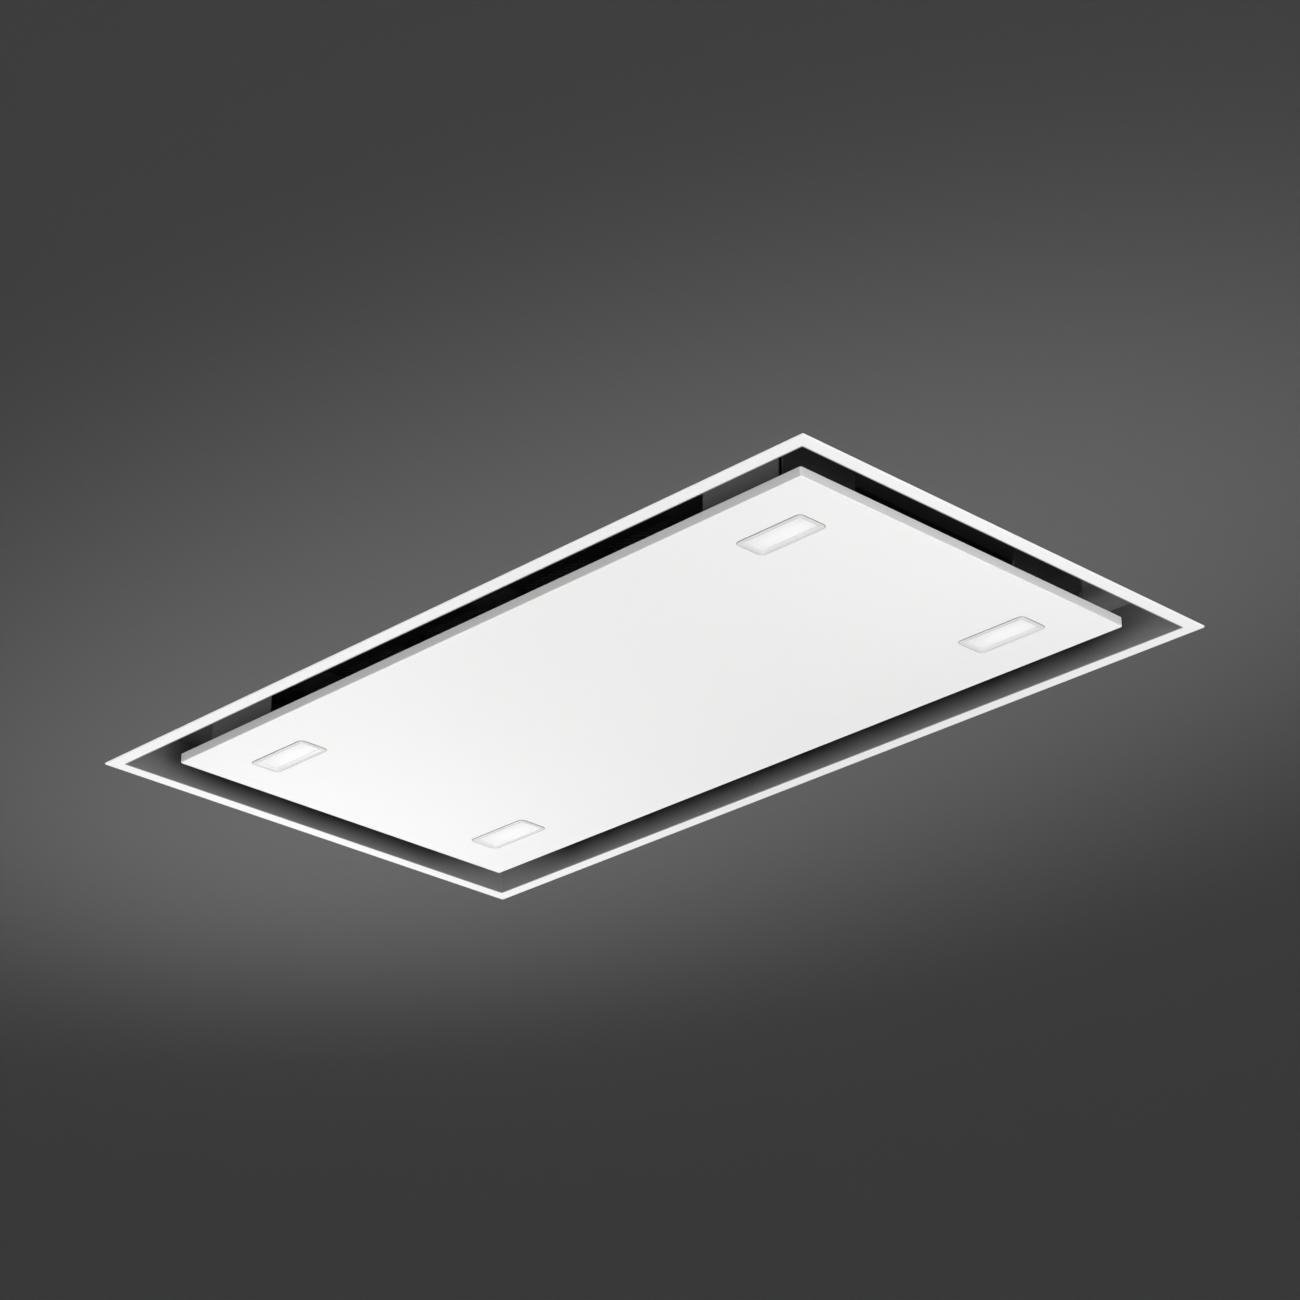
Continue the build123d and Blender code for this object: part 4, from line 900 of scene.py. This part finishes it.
# rivets of the hinge leaves and strike plates, spot welds of the hat sections
hingeX = 323
points = [(sx * (hingeX + dx), 187.3, 27.0) for sx in signs for dx in (-16, 16)]
heads("hingeRivets", "rivet", points, (math.pi / 2, 0, 0), "housing", 2.4, 0.9)
points = [(sx * (hingeX + dx), 170.0, 11.5) for sx in signs for dx in (-7, 7)]
heads("leafRivets", "rivet", points, upright, "lamp_panel", 2.2, 0.9)
points = [(sx * (hingeX + dx), -182.8, 12.7) for sx in signs for dx in (-17, 17)]
heads("strikeRivets", "rivet", points, upright, "lamp_panel", 2.0, 0.3)
points = [(x, sy * 70 + foot, 3.0) for sy in signs for foot in (-22, 22) for x in range(-330, 331, 44)]
heads("footWelds", "weld", points, upright, "lamp_panel", 2.4, 0.16)

# rivets of the hanger brackets, welds of the flange, screws of the duct collar
corners = [(sx, sy, dx) for sx in signs for sy in signs for dx in (-17, 17)]
points = [(sx * (300 + dx), sy * 203.0, z) for sx, sy, dx in corners for z in (122, 148)]
heads("bracketRivets", "rivet", points, ontoSide(points), "housing", 3.2, 1.5)
lengthwise = [x for x in range(-365, 366, 20) if clearOf(x, longScrews)]
crosswise = [y for y in range(-190, 191, 20) if clearOf(y, shortScrews)]
points = [(x, sy * flangeY, flangeTop) for sy in signs for x in lengthwise]
points += [(sx * flangeX, y, flangeTop) for sx in signs for y in crosswise]
heads("flangeWelds", "weld", points, upright, "housing", 2.6, 0.22)


def ringPoints(middle, radius, count):
    # evenly round a circle that faces along x
    angles = [2 * math.pi * (k + 0.5) / count for k in range(count)]
    return [(middle[0], middle[1] + radius * math.cos(a), middle[2] + radius * math.sin(a)) for a in angles]


points = ringPoints((382.4, -89.0, 131.0), 78.0, 6)
heads("collarScrews", "screw", points, (0, math.pi / 2, 0), "housing", 1.9, 1.1)
print("screws, rivets and welds made")


# ---- grease filters: layers of expanded aluminium ----

def zigzag(tree, start, phase):
    # one strand: a straight line of points pushed to and fro, then given a square section
    line = putNode(tree, "GeometryNodeMeshLine", mode="OFFSET")
    where, pace, push = [putNode(tree, "ShaderNodeCombineXYZ") for k in range(3)]
    half = putMath(tree, "MULTIPLY", {1: -0.5})
    more = putMath(tree, "ADD", {1: 1.0})
    total, across, rise = [putMath(tree, "MULTIPLY") for k in range(3)]
    number = putNode(tree, "GeometryNodeInputIndex")
    shifted = putMath(tree, "ADD", {1: float(phase)})
    parity = putMath(tree, "MODULO", {1: 2.0})
    sign = putMath(tree, "SUBTRACT", {1: 0.5})
    bent = putNode(tree, "GeometryNodeSetPosition")
    curve = putNode(tree, "GeometryNodeMeshToCurve")
    section = putNode(tree, "GeometryNodeCurvePrimitiveQuadrilateral")
    strand = putNode(tree, "GeometryNodeCurveToMesh", {"Fill Caps": True})
    joinAll(tree, [
        (start, "Steps", more, 0), (more, 0, line, "Count"), (start, "Steps", total, 0),
        (start, "Step", total, 1), (total, 0, half, 0), (half, 0, where, "X"),
        (where, "Vector", line, "Start Location"), (start, "Step", pace, "X"),
        (pace, "Vector", line, "Offset"),
        (number, "Index", shifted, 0), (shifted, 0, parity, 0), (parity, 0, sign, 0), (sign, 0, across, 0),
        (start, "Pitch", across, 1), (sign, 0, rise, 0), (start, "Lift", rise, 1), (across, 0, push, "Y"),
        (rise, 0, push, "Z"), (line, "Mesh", bent, "Geometry"), (push, "Vector", bent, "Offset"),
        (bent, "Geometry", curve, "Mesh"), (start, "Strand", section, "Width"),
        (start, "Strand", section, "Height"), (curve, "Curve", strand, "Curve"),
        (section, "Curve", strand, "Profile Curve")])
    return strand


def makeMeshTree():
    # rows of zigzag strands that touch at their bends, even rows in one phase and odd rows in the other
    tree, start, end = newShapeTree("expandedMesh", {
        "Steps": 40, "Rows": 60, "Step": 0.005, "Pitch": 0.004, "Strand": 0.0007, "Lift": 0.0006,
        "Centre": (0, 0, 0), "Turn": 0.0})
    fewer = putMath(tree, "SUBTRACT", {1: 1.0})
    span = putMath(tree, "MULTIPLY")
    back = putMath(tree, "MULTIPLY", {1: -0.5})
    first, pace, turn = [putNode(tree, "ShaderNodeCombineXYZ") for k in range(3)]
    rows = putNode(tree, "GeometryNodeMeshLine", mode="OFFSET")
    number = putNode(tree, "GeometryNodeInputIndex")
    parity = putMath(tree, "MODULO", {1: 2.0})
    odd = putNode(tree, "FunctionNodeCompare", {1: 0.5}, data_type="FLOAT", operation="GREATER_THAN")
    even = putNode(tree, "FunctionNodeBooleanMath", operation="NOT")
    joinAll(tree, [
        (start, "Rows", fewer, 0), (fewer, 0, span, 0), (start, "Pitch", span, 1), (span, 0, back, 0),
        (back, 0, first, "Y"), (start, "Pitch", pace, "Y"), (start, "Rows", rows, "Count"),
        (first, "Vector", rows, "Start Location"), (pace, "Vector", rows, "Offset"),
        (number, "Index", parity, 0), (parity, 0, odd, 0), (odd, "Result", even, 0)])
    both = putNode(tree, "GeometryNodeJoinGeometry")
    for phase, chosen in ((0, even), (1, odd)):
        strand = zigzag(tree, start, phase)
        place = putNode(tree, "GeometryNodeInstanceOnPoints")
        joinAll(tree, [
            (rows, "Mesh", place, "Points"), (strand, "Mesh", place, "Instance"),
            (chosen, chosen.outputs[0].name, place, "Selection"), (place, "Instances", both, "Geometry")])
    moved = putNode(tree, "GeometryNodeTransform")
    joinAll(tree, [
        (start, "Turn", turn, "Z"), (both, "Geometry", moved, "Geometry"),
        (start, "Centre", moved, "Translation"), (turn, "Vector", moved, "Rotation")])
    finishTree(tree, start, end, moved)
    return tree


meshPlan = {
    "strand": 0.75, "lift": 0.9, "inset": 0.6,
    # height over the core's underside, cell length, row pitch, turned
    "layers": [(0.9, 4.6, 3.8, False), (2.9, 4.2, 4.4, True), (5.2, 4.6, 3.8, False)],
}
meshTree = makeMeshTree()


def joinedMesh(name, meshes):
    work = bmesh.new()
    for mesh in meshes:
        work.from_mesh(mesh)
    whole = bpy.data.meshes.new(name)
    work.to_mesh(whole)
    work.free()
    for material in meshes[0].materials:
        whole.materials.append(material)
    for mesh in meshes:
        bpy.data.meshes.remove(mesh)
    return whole


def meshCore(number, plan):
    node, name = "filter_core_%d" % number, "meshCore%d" % number
    low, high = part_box(node)
    reach = (high - low) - Vector((2, 2, 0)) * (plan["inset"] * mm)
    middle = (low + high) / 2
    layers = []
    for k, (height, step, pitch, turned) in enumerate(plan["layers"]):
        along, across = (reach.y, reach.x) if turned else (reach.x, reach.y)
        steps, rows = int(along / (step * mm)), int(across / (pitch * mm)) - 1
        values = {
            "Steps": steps, "Rows": rows, "Step": along / steps, "Pitch": across / (rows + 0.9),
            "Strand": plan["strand"] * mm, "Lift": plan["lift"] * mm, "Turn": math.pi / 2 if turned else 0.0,
            "Centre": (middle.x, middle.y, low.z + height * mm), "Finish": finishes["wire"],
        }
        layers.append(grownMesh("%sLayer%d" % (name, k), bpy.data.meshes.new("seed"), meshTree, values))
    ridePiece(name, joinedMesh(name, layers), "housing", "filter_mesh", node)


for number in range(1, 4):
    meshCore(number, meshPlan)
print("filter meshes made")


# ---- impeller: a cage of forward-curved blades between a ring and a plate ----

wheelPlan = {
    "centre": (60.0, 24.0), "low": 92.0, "high": 172.0, "blades": 36,
    "inner": 86.0, "outer": 99.0, "sweep": 7.0, "camber": 2.6, "sheet": 1.2,
    "ring": (85.0, 100.0, 3.0), "plate": (30.0, 100.0, 2.5), "lip": 0.6, "seated": 2.8,
    "swage": {"from": 17.0, "to": 18.0, "slope": 1.0, "deep": 0.8},  # the band pressed down in the plate
}


def makeWheelTree():
    tree, start, end = newShapeTree("bladeWheel", {
        "Blades": 36, "Tip": (0, 0, 0), "Belly": (0, 0, 0), "Root": (0, 0, 0), "Sheet": 0.0012, "Tall": 0.07,
        "Middle": (0, 0, 0)})
    arc = putNode(tree, "GeometryNodeCurveArc", {"Resolution": 7}, mode="POINTS")
    section = putNode(tree, "GeometryNodeCurvePrimitiveQuadrilateral")
    upright = putNode(tree, "GeometryNodeSetCurveNormal", mode="Z_UP")
    blade = putNode(tree, "GeometryNodeCurveToMesh", {"Fill Caps": True})
    turns = putNode(tree, "GeometryNodeMeshLine", {"Offset": (0, 0, 0)}, mode="OFFSET")
    number = putNode(tree, "GeometryNodeInputIndex")
    share = putMath(tree, "DIVIDE")
    angle = putMath(tree, "MULTIPLY", {1: 2 * math.pi})
    facing = putNode(tree, "ShaderNodeCombineXYZ")
    cage = putNode(tree, "GeometryNodeInstanceOnPoints")
    moved = putNode(tree, "GeometryNodeTransform")
    joinAll(tree, [
        (start, "Root", arc, "Start"), (start, "Belly", arc, "Middle"), (start, "Tip", arc, "End"),
        (arc, "Curve", upright, "Curve"), (start, "Sheet", section, "Width"),
        (start, "Tall", section, "Height"), (upright, "Curve", blade, "Curve"),
        (section, "Curve", blade, "Profile Curve"), (start, "Blades", turns, "Count"),
        (number, "Index", share, 0), (start, "Blades", share, 1), (share, 0, angle, 0),
        (angle, 0, facing, "Z"),
        (turns, "Mesh", cage, "Points"), (blade, "Mesh", cage, "Instance"),
        (facing, "Vector", cage, "Rotation"), (cage, "Instances", moved, "Geometry"),
        (start, "Middle", moved, "Translation")])
    finishTree(tree, start, end, moved)
    return tree


def turnedSolid(name, centre, profile):
    # a closed section (radius, height) turned about a vertical axis, for rings and plates
    points, faces = [], []
    sides, count = 72, len(profile)
    for k in range(sides):
        angle = 2 * math.pi * k / sides
        for radius, height in profile:
            x, y = centre[0] + radius * math.cos(angle), centre[1] + radius * math.sin(angle)
            points.append((x * mm, y * mm, height * mm))
    for k in range(sides):
        here, there = k * count, (k + 1) % sides * count
        for j in range(count):
            after = (j + 1) % count
            faces.append((here + j, there + j, there + after, here + after))
    return closedMesh(name, points, faces, "black")


def buildWheel(plan):
    sweep = math.radians(plan["sweep"])
    root = Vector((plan["inner"], 0, 0))
    tip = Vector((plan["outer"] * math.cos(sweep), plan["outer"] * math.sin(sweep), 0))
    chord = (tip - root).normalized()
    belly = (root + tip) / 2 + Vector((-chord.y, chord.x, 0)) * -plan["camber"]
    values = {
        "Root": tuple(root * mm), "Tip": tuple(tip * mm), "Belly": tuple(belly * mm),
        "Blades": plan["blades"], "Sheet": plan["sheet"] * mm, "Finish": finishes["black"],
        "Tall": (plan["high"] - plan["low"] - plan["seated"]) * mm,
        "Middle": (plan["centre"][0] * mm, plan["centre"][1] * mm, (plan["low"] + plan["high"]) / 2 * mm),
    }
    cage = grownMesh("bladeCage", bpy.data.meshes.new("seed"), makeWheelTree(), values)
    low, high, lip = plan["low"], plan["high"], plan["lip"]
    inner, outer, thick = plan["ring"]
    top = low + thick
    ring = turnedSolid("ring", plan["centre"], [
        (inner, low + lip), (inner + lip, low), (outer - lip, low), (outer, low + lip),
        (outer, top - lip), (outer - lip, top), (inner + lip, top), (inner, top - lip)])
    inner, outer, thick = plan["plate"]
    foot, swage = high - thick, plan["swage"]
    first, last = inner + swage["from"], outer - swage["to"]
    slope, deep = swage["slope"], foot - swage["deep"]
    plate = turnedSolid("plate", plan["centre"], [
        (inner, foot), (first - slope, foot), (first, deep), (last, deep), (last + slope, foot),
        (outer - lip, foot), (outer, foot + lip), (outer, high - lip), (outer - lip, high), (inner, high)])
    wheel = joinedMesh("bladeWheel", [cage, ring, plate])
    ridePiece("bladeWheel", evenNormals(wheel, 40), "fan_rotor", "black_plastic", "impeller")


buildWheel(wheelPlan)
print("impeller made")
